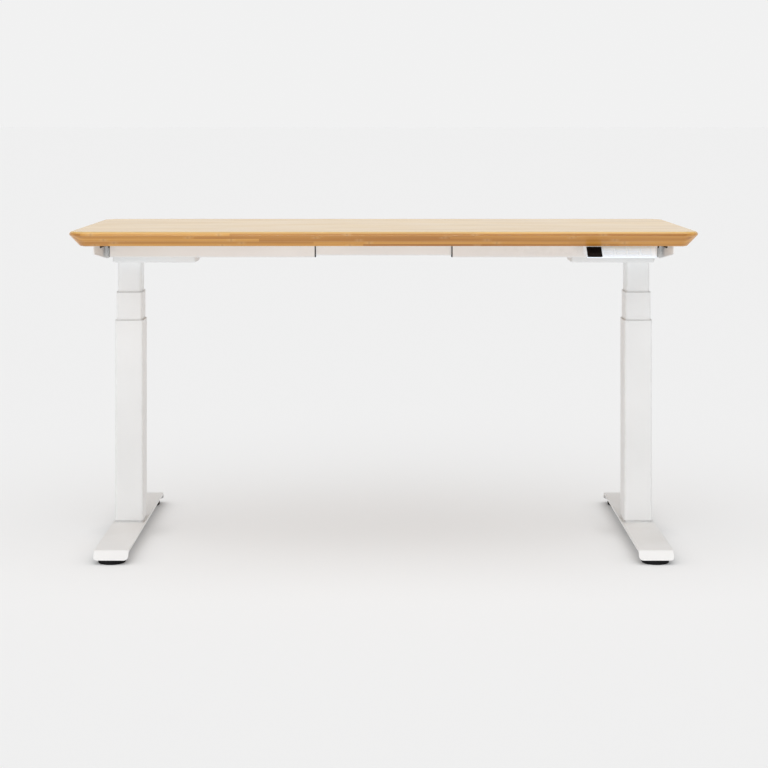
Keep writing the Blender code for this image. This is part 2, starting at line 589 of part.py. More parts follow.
def side_bracket(name, side):
    """Long folded arm that carries the desktop's end: an upright web, tapered to both ends, and a flange."""
    half = DESK_DEPTH / 2 - BRACKET_EDGE_INSET
    web_x = LEG_X + BRACKET_OUTBOARD
    depth = BRACKET_MIDDLE_HEIGHT
    corners = [(0, 0), (0, -depth), (-BRACKET_SHEET, -depth), (-BRACKET_SHEET, BRACKET_SHEET),
               (BRACKET_FLANGE, BRACKET_SHEET), (BRACKET_FLANGE, 0)]
    outer_bend = BRACKET_BEND_RADIUS
    inner_bend = BRACKET_BEND_RADIUS - BRACKET_SHEET
    section = rounded(corners, [inner_bend, 0, 0, outer_bend, 0, 0])
    angle = [(p[1], side * p[0]) for p in section]
    piece = add(name, skin(name, [(angle, -half), (angle, half)], "Y"), white_coat, lift,
                (side * web_x, 0, RAIL_TOP - BRACKET_SHEET))
    low, high = sorted((side * (web_x - 2 * BRACKET_SHEET), side * (web_x + BRACKET_FLANGE)))
    for _, end in ENDS:
        wedge = [(end * (half + GAP), RAIL_TOP - BRACKET_END_HEIGHT),
                 (end * (half - BRACKET_TAPER), RAIL_TOP - depth - BRACKET_SHEET - GAP),
                 (end * (half + GAP), RAIL_TOP - 2 * depth)]
        combine(piece, skin("taper", [(wedge, low), (wedge, high)], "X"), "DIFFERENCE")
        slot_y = end * BRACKET_SLOT_OFFSET
        slot_z = RAIL_TOP - BRACKET_SLOT_DROP - BRACKET_SLOT_HEIGHT / 2
        slot = rectangle(BRACKET_SLOT_LENGTH, BRACKET_SLOT_HEIGHT, BRACKET_SLOT_HEIGHT / 2)
        hole = skin("slot", [(slot, low), (slot, high)], "X")
        combine(piece, hole, "DIFFERENCE", (0, slot_y, slot_z))


def rail_section(name, low, high, height, depth, y):
    """One box tube of a telescoping rail, its upper face just below the desktop."""
    outside = rectangle(depth, height, RAIL_CORNER_RADIUS)
    inside = rectangle(depth - 2 * RAIL_WALL, height - 2 * RAIL_WALL, RAIL_CORNER_RADIUS - RAIL_WALL)
    rings = [(outside, low), (outside, high), (inside, high), (inside, low)]
    drop = RAIL_WALL + GAP if height < RAIL_HEIGHT else 0.0
    return add(name, skin(name, rings, "X", hollow=True), white_coat, lift,
               (0, y, RAIL_TOP - drop - height / 2))


def rails():
    """Front and rear rails: an outer tube at each end, and a slimmer centre tube that slides into both."""
    for end_name, end in ENDS:
        y = end * RAIL_OFFSET
        for side_name, side in SIDES:
            low, high = sorted((side * RAIL_INNER_X, side * RAIL_OUTER_X))
            piece = rail_section(end_name + "_rail_" + side_name, low, high, RAIL_HEIGHT, RAIL_DEPTH, y)
            if (end_name, side_name) == ("front", "right"):
                radius = RAIL_LEAD_HOLE_RADIUS
                hole = turned("lead_hole", [(radius, -RAIL_DEPTH), (radius, RAIL_DEPTH)], "Y")
                combine(piece, hole, "DIFFERENCE", (HANDSET_LEAD_X, y, LEAD_Z))
        reach = RAIL_INNER_X + RAIL_OVERLAP
        depth = RAIL_DEPTH - 2 * RAIL_WALL - 2 * CENTRE_RAIL_SIDE_GAP
        rail_section(end_name + "_rail_centre", -reach, reach, CENTRE_RAIL_HEIGHT, depth, y)


def control_box():
    """Shallow controller housing between the rails, its bottom cover, and the mains inlet on its back."""
    def outline(inset):
        return rectangle(BOX_LENGTH - 2 * inset, BOX_DEPTH - 2 * inset, BOX_CORNER_RADIUS - inset)

    low = BOX_TOP - BOX_HEIGHT + BOX_COVER + GAP
    rings = [(outline(BOX_WALL), BOX_TOP - BOX_WALL), (outline(BOX_WALL), low), (outline(0.0), low),
             (outline(0.0), BOX_TOP)]
    add("control_box", skin("control_box", rings), black_plastic, lift)
    cover = [(outline(0.0), BOX_TOP - BOX_HEIGHT), (outline(0.0), BOX_TOP - BOX_HEIGHT + BOX_COVER)]
    add("control_box_cover", skin("control_box_cover", cover), black_plastic, lift)

    outside = rectangle(INLET_HEIGHT, INLET_WIDTH, INLET_WALL)
    inside = rectangle(INLET_HEIGHT - 2 * INLET_WALL, INLET_WIDTH - 2 * INLET_WALL, INLET_WALL / 2)
    rings = [(inside, INLET_WALL), (inside, INLET_DEPTH), (outside, INLET_DEPTH), (outside, 0.0)]
    middle_z = (BOX_TOP + low) / 2
    add("power_inlet", skin("power_inlet", rings, "Y"), black_plastic, lift,
        (INLET_OFFSET, BOX_DEPTH / 2 + GAP, middle_z))


def lead(name, route, material):
    """Round cable along a smooth curve through a few chosen points, with filled ends."""
    points = [Vector(p) for p in route]
    points = [2 * points[0] - points[1]] + points + [2 * points[-1] - points[-2]]
    spacing = 5 * LEAD_RADIUS
    path = []
    for a, b, c, d in zip(points, points[1:], points[2:], points[3:]):
        count = max(2, round((c - b).length / spacing))
        for step in range(count):
            t = step / count
            path.append(0.5 * (2 * b + (c - a) * t + (2 * a - 5 * b + 4 * c - d) * t ** 2
                               + (3 * b - a - 3 * c + d) * t ** 3))
    path.append(points[-2])
    curve = bpy.data.curves.new(name, "CURVE")
    curve.dimensions = "3D"
    curve.bevel_depth = LEAD_RADIUS
    curve.bevel_resolution = 2
    curve.use_fill_caps = True
    spline = curve.splines.new("POLY")
    spline.points.add(len(path) - 1)
    for point, place in zip(spline.points, path):
        point.co = (*place, 1.0)
    add(name, curve, material, lift)


def leads():
    """Leads from the gear heads and the handset, clipped below the desktop, to the control box."""
    box_x = BOX_LENGTH / 2 + GAP
    for side_name, side in SIDES:
        start = LEG_X - HEAD_INBOARD - HEAD_WALL
        end_y = BOX_DEPTH / 4
        swing = RAIL_OFFSET / 5
        route = [(side * (start + 4 * HEAD_WALL), 0, LEAD_Z), (side * start, 0, LEAD_Z),
                 (side * (start - RAIL_OFFSET / 2), swing / 2, LEAD_Z),
                 (side * (start + box_x) / 2, swing, LEAD_Z),
                 (side * (box_x + RAIL_OFFSET / 2), end_y, LEAD_Z), (side * box_x, end_y, LEAD_Z)]
        lead("motor_lead_" + side_name, route, lead_grey)
    back = HANDSET_BACK_Y + GAP
    rail_y = -RAIL_OFFSET
    lane = -(RAIL_OFFSET - RAIL_DEPTH / 2 + HEAD_DEPTH / 2) / 2
    turn = RAIL_DEPTH / 2
    x = HANDSET_LEAD_X
    end_y = -BOX_DEPTH / 4
    route = [(x, back, LEAD_Z), (x, (back + rail_y) / 2, LEAD_Z), (x, rail_y, LEAD_Z),
             (x - 0.3 * turn, lane - 0.7 * turn, LEAD_Z), (x - 1.5 * turn, lane, LEAD_Z),
             (x - 5 * turn, lane, LEAD_Z), ((x + box_x) / 2, lane, LEAD_Z),
             (box_x + 6 * turn, (lane + end_y) / 2, LEAD_Z), (box_x + 2 * turn, end_y, LEAD_Z),
             (box_x + turn, end_y, LEAD_Z), (box_x, end_y, LEAD_Z)]
    lead("handset_lead", route, lead_grey)


def on_face(along, across, out):
    """Place in the world from the handset face's own directions: right, up the slope and outwards."""
    up = Vector((0, math.cos(FACE_TILT), math.sin(FACE_TILT)))
    outward = Vector((0, -math.sin(FACE_TILT), math.cos(FACE_TILT)))
    return Vector((HANDSET_LEFT + along, 0, 0)) + FACE_MIDDLE + up * across + outward * out


def plaque(name, length, width, thickness, radius):
    """Flat rounded piece whose outer face lies at zero."""
    outline = rectangle(length, width, radius)
    return skin(name, [(outline, -thickness), (outline, 0.0)])


def handset():
    """Wedge-shaped control panel: shell, display window and seven sprung keys on its sloped face."""
    top = RAIL_TOP
    nose_y = FACE_TOP_Y - HANDSET_FACE_REACH
    nose_z = top - HANDSET_FACE_DROP
    back_z = top - HANDSET_BACK_HEIGHT
    corners = [(HANDSET_BACK_Y, top), (FACE_TOP_Y, top), (nose_y, nose_z),
               (nose_y + HANDSET_NOSE, nose_z - HANDSET_NOSE), (HANDSET_BACK_Y, back_z)]
    wall = HANDSET_WALL
    outside = rounded(corners, [0, 0.001, 0.001, 0.002, 0.003])
    shell = skin("handset_case", [(outside, 0.0), (outside, HANDSET_LENGTH)], "X")
    case = add("handset_case", shell, white_plastic, lift, (HANDSET_LEFT, 0, 0))
    soft = case.modifiers.new("soft_edges", "BEVEL")
    soft.width = HANDSET_EDGE_BEVEL
    soft.segments = 2
    soft.limit_method = "ANGLE"
    soft.angle_limit = math.radians(60)
    slant = wall / math.sin(FACE_TILT)
    rise = wall / math.cos(FACE_TILT)
    inside = [(HANDSET_BACK_Y - wall, top + wall),
              (FACE_TOP_Y + slant + wall / math.tan(FACE_TILT), top + wall),
              (nose_y + 2 * HANDSET_NOSE, nose_z - rise + 2 * HANDSET_NOSE * math.tan(FACE_TILT)),
              (HANDSET_BACK_Y - wall, back_z + wall)]
    hollow = skin("handset_inside", [(inside, wall), (inside, HANDSET_LENGTH - wall)], "X")
    combine(case, hollow, "DIFFERENCE", (HANDSET_LEFT, 0, 0))

    middle = DISPLAY_EDGE_INSET + DISPLAY_LENGTH / 2
    clearance = 2 * KEY_CLEARANCE
    window = plaque("display", DISPLAY_LENGTH, DISPLAY_WIDTH, DISPLAY_THICKNESS, KEY_CORNER_RADIUS)
    add("handset_display", window, dark_glass, lift, on_face(middle, -DISPLAY_DROP, DISPLAY_PROUD), FACE_TILT)
    depth = DISPLAY_THICKNESS + GAP
    pocket = plaque("display_pocket", DISPLAY_LENGTH + clearance, DISPLAY_WIDTH + clearance, 2 * depth,
                    KEY_CORNER_RADIUS)
    combine(case, pocket, "DIFFERENCE", on_face(middle, -DISPLAY_DROP, depth + DISPLAY_PROUD), FACE_TILT)

    row = KEY_ROW_SPACING / 2
    single = KEY_WIDTH
    tall = KEY_WIDTH + KEY_ROW_SPACING
    layout = [("key_up", 0, row, single), ("key_down", 0, -row, single),
              ("key_memory_1", 1, row, single), ("key_memory_2", 2, row, single),
              ("key_memory_3", 1, -row, single), ("key_memory_4", 2, -row, single),
              ("key_store", 3, 0.0, tall)]
    for name, place, across, width in layout:
        along = KEYS_START + KEY_SPACING * place
        cap = plaque(name, KEY_LENGTH, width, KEY_THICKNESS, KEY_CORNER_RADIUS)
        rest = holder(name + "_axis", on_face(along, across, 0.0), lift)
        add(name, cap, key_grey, rest, on_face(along, across, KEY_PROUD), FACE_TILT)
        opening = plaque(name + "_opening", KEY_LENGTH + clearance, width + clearance,
                         4 * KEY_THICKNESS, KEY_CORNER_RADIUS + KEY_CLEARANCE)
        combine(case, opening, "DIFFERENCE", on_face(along, across, 2 * KEY_THICKNESS), FACE_TILT)


clear_scene()
bamboo = finish("bamboo", (0.78, 0.60, 0.40), 0.45)
white_coat = finish("white_coat", (0.86, 0.86, 0.85), 0.45)
white_plastic = finish("white_plastic", (0.84, 0.85, 0.87), 0.40)
key_grey = finish("key_grey", (0.78, 0.80, 0.82), 0.45)
grey_plastic = finish("grey_plastic", (0.55, 0.55, 0.54), 0.55)
black_plastic = finish("black_plastic", (0.02, 0.02, 0.02), 0.50)
dark_glass = finish("dark_glass", (0.01, 0.01, 0.012), 0.12)
lead_grey = finish("lead_grey", (0.05, 0.05, 0.05), 0.55)
zinc_steel = finish("zinc_steel", (0.60, 0.61, 0.62), 0.35, 1.0)
screw_steel = finish("screw_steel", (0.50, 0.50, 0.51), 0.30, 1.0)
motor_steel = finish("motor_steel", (0.35, 0.36, 0.37), 0.40, 1.0)
cast_alloy = finish("cast_alloy", (0.62, 0.62, 0.61), 0.50, 1.0)
bronze = finish("bronze", (0.60, 0.40, 0.18), 0.35, 1.0)

base = holder("base_frame", (0, 0, 0))
lift = holder("lift_frame", (0, 0, UNDERSIDE), base)
holders = {}
for side_label, direction in SIDES:
    leg = direction * LEG_X
    middle_stage = holder("middle_stage_" + side_label, (leg, 0, MIDDLE_BASE), base)
    holders["middle_" + side_label] = middle_stage
    holders["outer_spindle_" + side_label] = holder("outer_axis_" + side_label, (leg, 0, 0), middle_stage)
    holders["inner_spindle_" + side_label] = holder("inner_axis_" + side_label, (leg, 0, 0), lift)
    holders["worm_shaft_" + side_label] = holder("worm_axis_" + side_label, (leg, WORM_Y, GEAR_Z), lift)

desktop()
for side_label, direction in SIDES:
    leg = direction * LEG_X
    foot("foot_" + side_label, leg)
    for end_label, facing in ENDS:
        glide("glide_" + end_label + "_" + side_label, leg, facing * (FOOT_LENGTH / 2 - GLIDE_RADIUS))
    column(side_label, leg)
    lifting_screws(side_label, leg)
    motor_housing("motor_housing_" + side_label, leg, direction)
    gear_drive(side_label, leg, direction)
    saddle("saddle_" + side_label, leg, direction)
    side_bracket("side_bracket_" + side_label, direction)
rails()
control_box()
leads()
handset()
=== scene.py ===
import math

import bmesh
import bpy
import numpy as np
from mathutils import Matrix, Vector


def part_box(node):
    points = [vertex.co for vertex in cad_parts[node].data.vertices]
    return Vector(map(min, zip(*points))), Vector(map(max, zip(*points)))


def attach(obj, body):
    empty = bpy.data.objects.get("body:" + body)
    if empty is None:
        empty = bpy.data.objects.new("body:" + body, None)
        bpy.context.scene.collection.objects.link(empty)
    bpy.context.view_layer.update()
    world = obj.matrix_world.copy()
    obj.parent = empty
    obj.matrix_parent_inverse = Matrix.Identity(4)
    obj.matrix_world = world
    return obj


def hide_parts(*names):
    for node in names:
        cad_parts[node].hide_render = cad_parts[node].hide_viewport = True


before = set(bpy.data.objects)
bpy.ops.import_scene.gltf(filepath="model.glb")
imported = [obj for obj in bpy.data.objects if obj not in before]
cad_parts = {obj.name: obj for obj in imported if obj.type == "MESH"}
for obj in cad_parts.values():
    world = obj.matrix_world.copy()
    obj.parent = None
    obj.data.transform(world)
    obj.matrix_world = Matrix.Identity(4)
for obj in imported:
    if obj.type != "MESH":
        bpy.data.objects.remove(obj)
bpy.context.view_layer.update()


# Camera. A long lens stands level in front of the desk's middle, a quarter of a metre above the desktop.
# Its shift brings the feet into view without a tilt, so that upright columns stay upright.
CAMERA_PLACE = (0.0, -4.575, 1.0507)
CAMERA_LENS = 82.78
CAMERA_SHIFT = (0.0005, -0.3367)
SENSOR_WIDTH = 36.0

camera = bpy.data.objects.new("camera", bpy.data.cameras.new("camera"))
bpy.context.scene.collection.objects.link(camera)
bpy.context.scene.camera = camera
camera.location = CAMERA_PLACE
camera.rotation_euler = (math.pi / 2, 0.0, 0.0)
camera.data.sensor_width = SENSOR_WIDTH
camera.data.lens = CAMERA_LENS
camera.data.shift_x, camera.data.shift_y = CAMERA_SHIFT


# Feet. Each is a bar of 6 mm steel plate with rounded corners, bent down at both ends into a lip that
# hides most of the levelling glide, and powder coated white. A welded pad carries the column.
SIDES = (("left", -1), ("right", 1))
ENDS = (("front", -1), ("rear", 1))
FOOT_PLATE = 0.006
FOOT_EDGE = 0.0012
FOOT_BEND = 0.008
FOOT_LIP_REACH = 0.021
FOOT_CORNER = 0.010
FOOT_PAD = (0.066, 0.072, 0.006)
FOOT_PAD_HEIGHT = 0.005
FOOT_BEAD = (0.070, 0.076, 0.008)
FOOT_BOSS_RADIUS = 0.008
FOOT_BOSS_BORE = 0.0046
FOOT_BOSS_INSET = 0.033
FOOT_SCREW = (0.0065, 0.0036)
FOOT_SCREW_PLACES = (0.021, 0.024)
GAP = 0.0003


def number_box(node):
    """Lowest and highest corner of a CAD node as two plain arrays."""
    low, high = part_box(node)
    return np.array(low), np.array(high)


def rounded_outline(width, depth, radius, steps=7):
    """Corner centres and unit offsets of a rectangle with quarter-circle corners, as two (point, 2) arrays.

    A point of the outline is centre + radius * offset, so an outline inset by d is centre + (radius - d)
    * offset. Each arc has one more point a quarter radius before it and after it, which holds the flat
    side's shading.
    """
    turn = np.linspace(0.0, np.pi / 2, steps + 1)
    arc = np.stack([np.cos(turn), np.sin(turn)], -1)
    hold = min(0.25, 0.45 * max(min(width, depth) / 2 / radius - 1.0, 1e-4))
    arc = np.concatenate([[[1.0, -hold]], arc, [[-hold, 1.0]]])
    centre = np.array([width / 2 - radius, depth / 2 - radius])
    quarters = np.array([[[1, 0], [0, 1]], [[0, -1], [1, 0]], [[-1, 0], [0, -1]], [[0, 1], [-1, 0]]], float)
    signs = np.array([[1, 1], [-1, 1], [-1, -1], [1, -1]], float)
    offsets = np.einsum("qij,pj->qpi", quarters, arc).reshape(-1, 2)
    centres = np.repeat(signs * centre, len(arc), 0)
    return centres, offsets


def carried(plane, along, axis="Z"):
    """(ring, point, xyz) from flat outlines (ring, point, 2) and each ring's place along the axis.

    The outline's own two directions are X, Y for axis Z; Y, Z for axis X; and X, Z for axis Y.
    """
    rings = np.zeros(plane.shape[:2] + (3,))
    flat = {"Z": (0, 1), "X": (1, 2), "Y": (0, 2)}[axis]
    rings[..., flat[0]], rings[..., flat[1]] = plane[..., 0], plane[..., 1]
    rings[..., "XYZ".index(axis)] = np.asarray(along, float)[:, None]
    return rings


def box_rings(width, depth, radius, section, axis="Z", place=(0.0, 0.0, 0.0), steps=7):
    """Rings of a rounded box or tube: each (inset, along) of the section gives one inset outline."""
    section = np.asarray(section, float)
    centres, offsets = rounded_outline(width, depth, radius, steps)
    plane = centres + (radius - section[:, 0])[:, None, None] * offsets
    return carried(plane, section[:, 1], axis) + np.array(place)


def softened(corners, radii, steps=4):
    """Closed outline with each corner replaced by an arc of its radius, and a holding point by each arc."""
    points = []
    corners = np.asarray(corners, float)
    radii = np.broadcast_to(radii, len(corners))
    for index, corner in enumerate(corners):
        to_last, to_next = corners[index - 1] - corner, corners[(index + 1) % len(corners)] - corner
        to_last, to_next = to_last / np.hypot(*to_last), to_next / np.hypot(*to_next)
        half_angle = math.acos(np.clip(to_last @ to_next, -1, 1)) / 2
        reach = radii[index] / math.tan(half_angle)
        middle = to_last + to_next
        centre = corner + middle / np.hypot(*middle) * radii[index] / math.sin(half_angle)
        first, last = corner + to_last * reach, corner + to_next * reach
        sweep = np.linspace(-1, 1, steps + 1) * (np.pi / 2 - half_angle)
        inward = -middle / np.hypot(*middle)
        across = (last - first) / np.hypot(*(last - first))
        arc = centre + radii[index] * (np.cos(sweep)[:, None] * inward + np.sin(sweep)[:, None] * across)
        points += [first + 0.25 * reach * to_last, *arc, last + 0.25 * reach * to_next]
    return np.array(points)


def rim_section(wall, low, high, edge):
    """Closed (inset, along) section of a tube wall between two heights, its four edges rounded."""
    return softened([(0.0, low), (0.0, high), (wall, high), (wall, low)], edge)


def slab_section(low, high, edge, steps=4):
    """(inset, along) section of a solid whose lower and upper rims are rounded, from below upwards."""
    turn = np.linspace(0.0, np.pi / 2, steps + 1)
    inset, rise = edge * (1 - np.sin(turn)), edge * (1 - np.cos(turn))
    hold = 0.25 * edge
    lower = [(edge + hold, low), *zip(inset, low + rise), (0.0, low + edge + hold)]
    upper = [(0.0, high - edge - hold), *zip(inset[::-1], high - rise[::-1]), (edge + hold, high)]
    return np.array(lower + upper)


def turned_rings(profile, axis="Z", place=(0.0, 0.0, 0.0), steps=48):
    """Rings of a turned body: each (radius, along) of the profile gives one circle about the axis."""
    profile = np.asarray(profile, float)
    turn = np.arange(steps) * 2 * np.pi / steps
    circle = np.stack([np.cos(turn), np.sin(turn)], -1)
    return carried(profile[:, 0][:, None, None] * circle, profile[:, 1], axis) + np.array(place)


def skin(name, *shells, sharp=32.0):
    """Mesh object over one or more shells, each an array (ring, point, xyz) or (array, "tube").

    Neighbouring rings are joined by quads and each ring closes on itself. A tube's last ring meets its
    first; any other shell is filled at both ends. Faces are then turned outwards, and edges that turn
    by more than the SHARP angle stay crisp.
    """
    points, faces, start = [], [], 0
    for shell in shells:
        rings, joined = shell if isinstance(shell, tuple) else (shell, None)
        count, around = rings.shape[:2]
        ring = np.arange(count if joined else count - 1)[:, None]
        here = np.arange(around)[None, :]
        after, beside = (ring + 1) % count, (here + 1) % around
        quads = np.stack([ring * around + here, ring * around + beside,
                          after * around + beside, after * around + here], -1).reshape(-1, 4) + start
        faces += quads.tolist()
        if not joined:
            faces += [(start + here[0, ::-1]).tolist(), (start + (count - 1) * around + here[0]).tolist()]
        points.append(rings.reshape(-1, 3))
        start += count * around
    mesh = bpy.data.meshes.new(name)
    mesh.from_pydata(np.concatenate(points).tolist(), [], faces)
    shape = bmesh.new()
    shape.from_mesh(mesh)
    bmesh.ops.recalc_face_normals(shape, faces=shape.faces)
    shape.to_mesh(mesh)
    shape.free()
    mesh.shade_smooth()
    mesh.set_sharp_from_angle(angle=math.radians(sharp))
    piece = bpy.data.objects.new(name, mesh)
    bpy.context.scene.collection.objects.link(piece)
    return piece


def carve(piece, *shells, sharp=32.0):
    """Cuts shells out of a piece, and keeps the cut mesh as the piece's own."""
    cutter = skin(piece.name + "_cutter", *shells)
    cut = piece.modifiers.new("cut", "BOOLEAN")
    cut.operation = "DIFFERENCE"
    cut.object = cutter
    graph = bpy.context.evaluated_depsgraph_get()
    mesh = bpy.data.meshes.new_from_object(piece.evaluated_get(graph))
    piece.modifiers.clear()
    piece.data = mesh
    mesh.shade_smooth()
    mesh.set_sharp_from_angle(angle=math.radians(sharp))
    bpy.data.objects.remove(cutter)


def socket_screw(place, radius, height, down=True):
    """Rings of a button head with a hexagon socket: a dome, then a six-sided hole of radius / 2.

    The hexagon's radius at an angle is its flat radius over the cosine of the angle past the nearest flat.
    """
    turn = np.arange(36) * 2 * np.pi / 36
    circle = np.stack([np.cos(turn), np.sin(turn)], -1)
    flat = 0.42 * radius / np.cos((turn + np.pi / 6) % (np.pi / 3) - np.pi / 6)
    dome = np.linspace(0.0, np.pi / 2, 6)
    radii = radius * (0.55 + 0.45 * np.cos(dome))
    heights = height * np.sin(dome)
    plane = [np.outer(np.full(36, radius), [1, 1]) * circle]
    plane += [value * circle for value in radii] + [flat[:, None] * circle] * 2
    along = np.array([-0.5 * height, *heights, height, 0.3 * height])
    return carried(np.array(plane), along * (-1 if down else 1)) + np.array(place)


def put(tree, kind, *values, **settings):
    """Adds a shader node. Values and sockets go to its inputs, by place or by name; a socket is linked."""
    item = tree.nodes.new("ShaderNode" + kind)
    named = {}
    for key, value in settings.items():
        if key[0].islower():
            setattr(item, key, value)
        else:
            named[key.replace("_", " ")] = value
    for socket, value in [*zip(item.inputs, values), *((item.inputs[key], v) for key, v in named.items())]:
        if isinstance(value, bpy.types.NodeSocket):
            tree.links.new(value, socket)
        elif value is not None:
            socket.default_value = value
    return item


def reckon(tree, operation, *values):
    """Output of a Math node."""
    return put(tree, "Math", *values, operation=operation).outputs[0]


def stained(tree, share, first, second):
    """Colour between two others, by a share from 0 to 1."""
    item = put(tree, "Mix", data_type="RGBA")
    for socket, value in zip([item.inputs[0], item.inputs[6], item.inputs[7]], [share, first, second]):
        if isinstance(value, bpy.types.NodeSocket):
            tree.links.new(value, socket)
        else:
            socket.default_value = value if isinstance(value, float) else (*value, 1.0)
    return item.outputs[2]


def effect(name, inputs, outputs):
    """Empty shader node group with named float sockets, and its input and output nodes."""
    group = bpy.data.node_groups.new(name, "ShaderNodeTree")
    for label, value in inputs.items():
        socket = group.interface.new_socket(label, in_out="INPUT", socket_type="NodeSocketFloat")
        socket.default_value = value
    for label in outputs:
        group.interface.new_socket(label, in_out="OUTPUT", socket_type="NodeSocketFloat")
    return group, group.nodes.new("NodeGroupInput"), group.nodes.new("NodeGroupOutput")


def use(tree, group, **values):
    """Places a shared effect in a material and returns its outputs."""
    return put(tree, "Group", node_tree=group, **values).outputs


def material(name, colour, roughness, metallic=0.0, **even):
    """New material: its node tree and its Principled shader, with the values that are even all over."""
    made = bpy.data.materials.new(name)
    made.use_nodes = True
    made.diffuse_color = (*colour, 1.0)
    shader = made.node_tree.nodes["Principled BSDF"]
    values = {"Base Color": (*colour, 1.0), "Roughness": roughness, "Metallic": metallic}
    values.update({key.replace("_", " "): value for key, value in even.items()})
    for key, value in values.items():
        shader.inputs[key].default_value = value
    return made, made.node_tree, shader


def clouded(tree, scale, first, second):
    """Colour that drifts between two others in slow clouds."""
    return stained(tree, use(tree, cloud, Scale=scale)["Value"], first, second)


def surface(tree, shader, tone, gloss, bump=None):
    """Gives a shader its colour, a cloudy roughness (scale, low, high) and perhaps a pebbled bump
    (strength, distance, scale)."""
    tree.links.new(tone, shader.inputs["Base Color"])
    scale, low, high = gloss
    tree.links.new(use(tree, cloud, Scale=scale, Low=low, High=high)["Value"], shader.inputs["Roughness"])
    if bump:
        strength, distance, scale = bump
        grain = put(tree, "Bump", Strength=strength, Distance=distance,
                    Height=use(tree, pebble, Scale=scale)["Height"])
        tree.links.new(grain.outputs[0], shader.inputs["Normal"])


def fit(piece, finish, slot, body, *nodes):
    """Gives a piece its material, and lets it ride on its body in place of the CAD nodes. Its slot is not
    used.
    """
    piece.data.materials.clear()
    piece.data.materials.append(finish)
    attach(piece, body)
    if nodes:
        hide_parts(*nodes)


# pebble: the low bumps of a sprayed or moulded surface, rounded cells laid over a softer noise
pebble, given, result = effect("pebble", {"Scale": 700.0}, ["Height"])
spot = put(pebble, "TexCoord").outputs["Object"]
cells = put(pebble, "TexVoronoi", Vector=spot, Scale=given.outputs["Scale"], feature="SMOOTH_F1")
swell = put(pebble, "TexNoise", Vector=spot, Scale=reckon(pebble, "MULTIPLY", given.outputs["Scale"], 0.45))
height = reckon(pebble, "ADD", reckon(pebble, "MULTIPLY", cells.outputs["Distance"], 0.6), swell.outputs[0])
pebble.links.new(height, result.inputs["Height"])

# cloud: slow, cloudy change between two values, for uneven gloss and tone
cloud, given, result = effect("cloud", {"Scale": 8.0, "Low": 0.0, "High": 1.0}, ["Value"])
spot = put(cloud, "TexCoord").outputs["Object"]
drift = put(cloud, "TexNoise", Vector=spot, Scale=given.outputs["Scale"], Detail=4.0)
level = put(cloud, "MapRange", drift.outputs[0], 0.3, 0.7, given.outputs["Low"], given.outputs["High"])
cloud.links.new(level.outputs[0], result.inputs["Value"])

# edge wear: where the surface turns outwards, broken up so that it comes and goes along an edge
edge_wear, given, result = effect("edge_wear", {"Reach": 0.04, "Breaks": 60.0}, ["Mask"])
spot = put(edge_wear, "TexCoord").outputs["Object"]
turn_out = put(edge_wear, "NewGeometry").outputs["Pointiness"]
limit = reckon(edge_wear, "ADD", 0.5, given.outputs["Reach"])
ridge = put(edge_wear, "MapRange", turn_out, 0.505, limit, 0.0, 1.0).outputs[0]
breaks = put(edge_wear, "TexNoise", Vector=spot, Scale=given.outputs["Breaks"], Detail=3.0).outputs[0]
breaks = put(edge_wear, "MapRange", breaks, 0.42, 0.62, 0.0, 1.0).outputs[0]
edge_wear.links.new(reckon(edge_wear, "MULTIPLY", ridge, breaks), result.inputs["Mask"])

# settled dust: thin and patchy, on whatever faces up
settled, given, result = effect("settled_dust", {"Amount": 0.3, "Patches": 14.0}, ["Mask"])
spot = put(settled, "TexCoord").outputs["Object"]
facing = put(settled, "SeparateXYZ", put(settled, "NewGeometry").outputs["Normal"]).outputs[2]
upward = put(settled, "MapRange", facing, 0.55, 0.95, 0.0, given.outputs["Amount"]).outputs[0]
patches = put(settled, "TexNoise", Vector=spot, Scale=given.outputs["Patches"], Detail=5.0).outputs[0]
patches = put(settled, "MapRange", patches, 0.35, 0.65, 0.35, 1.0).outputs[0]
settled.links.new(reckon(settled, "MULTIPLY", upward, patches), result.inputs["Mask"])

# white powder coat on steel: warm white, faint orange peel, thinner and greyer on worn edges
white_coat, tree, shader = material("white_powder_coat", (0.83, 0.83, 0.82), 0.42, Specular_IOR_Level=0.45)
tone = clouded(tree, 5.0, (0.80, 0.80, 0.795), (0.845, 0.845, 0.842))
tone = stained(tree, use(tree, settled, Amount=0.16)["Mask"], tone, (0.62, 0.59, 0.54))
tone = stained(tree, reckon(tree, "MULTIPLY", use(tree, edge_wear)["Mask"], 0.35), tone, (0.70, 0.70, 0.69))
surface(tree, shader, tone, (9.0, 0.36, 0.48), (0.18, 0.0002, 620.0))

# black-oxide screws
black_screw, tree, shader = material("blackened_screw", (0.05, 0.05, 0.052), 0.4, 0.9)
scuffed = stained(tree, use(tree, edge_wear, Reach=0.06, Breaks=300.0)["Mask"],
                  (0.045, 0.045, 0.048), (0.32, 0.32, 0.33))
surface(tree, shader, scuffed, (160.0, 0.3, 0.5))


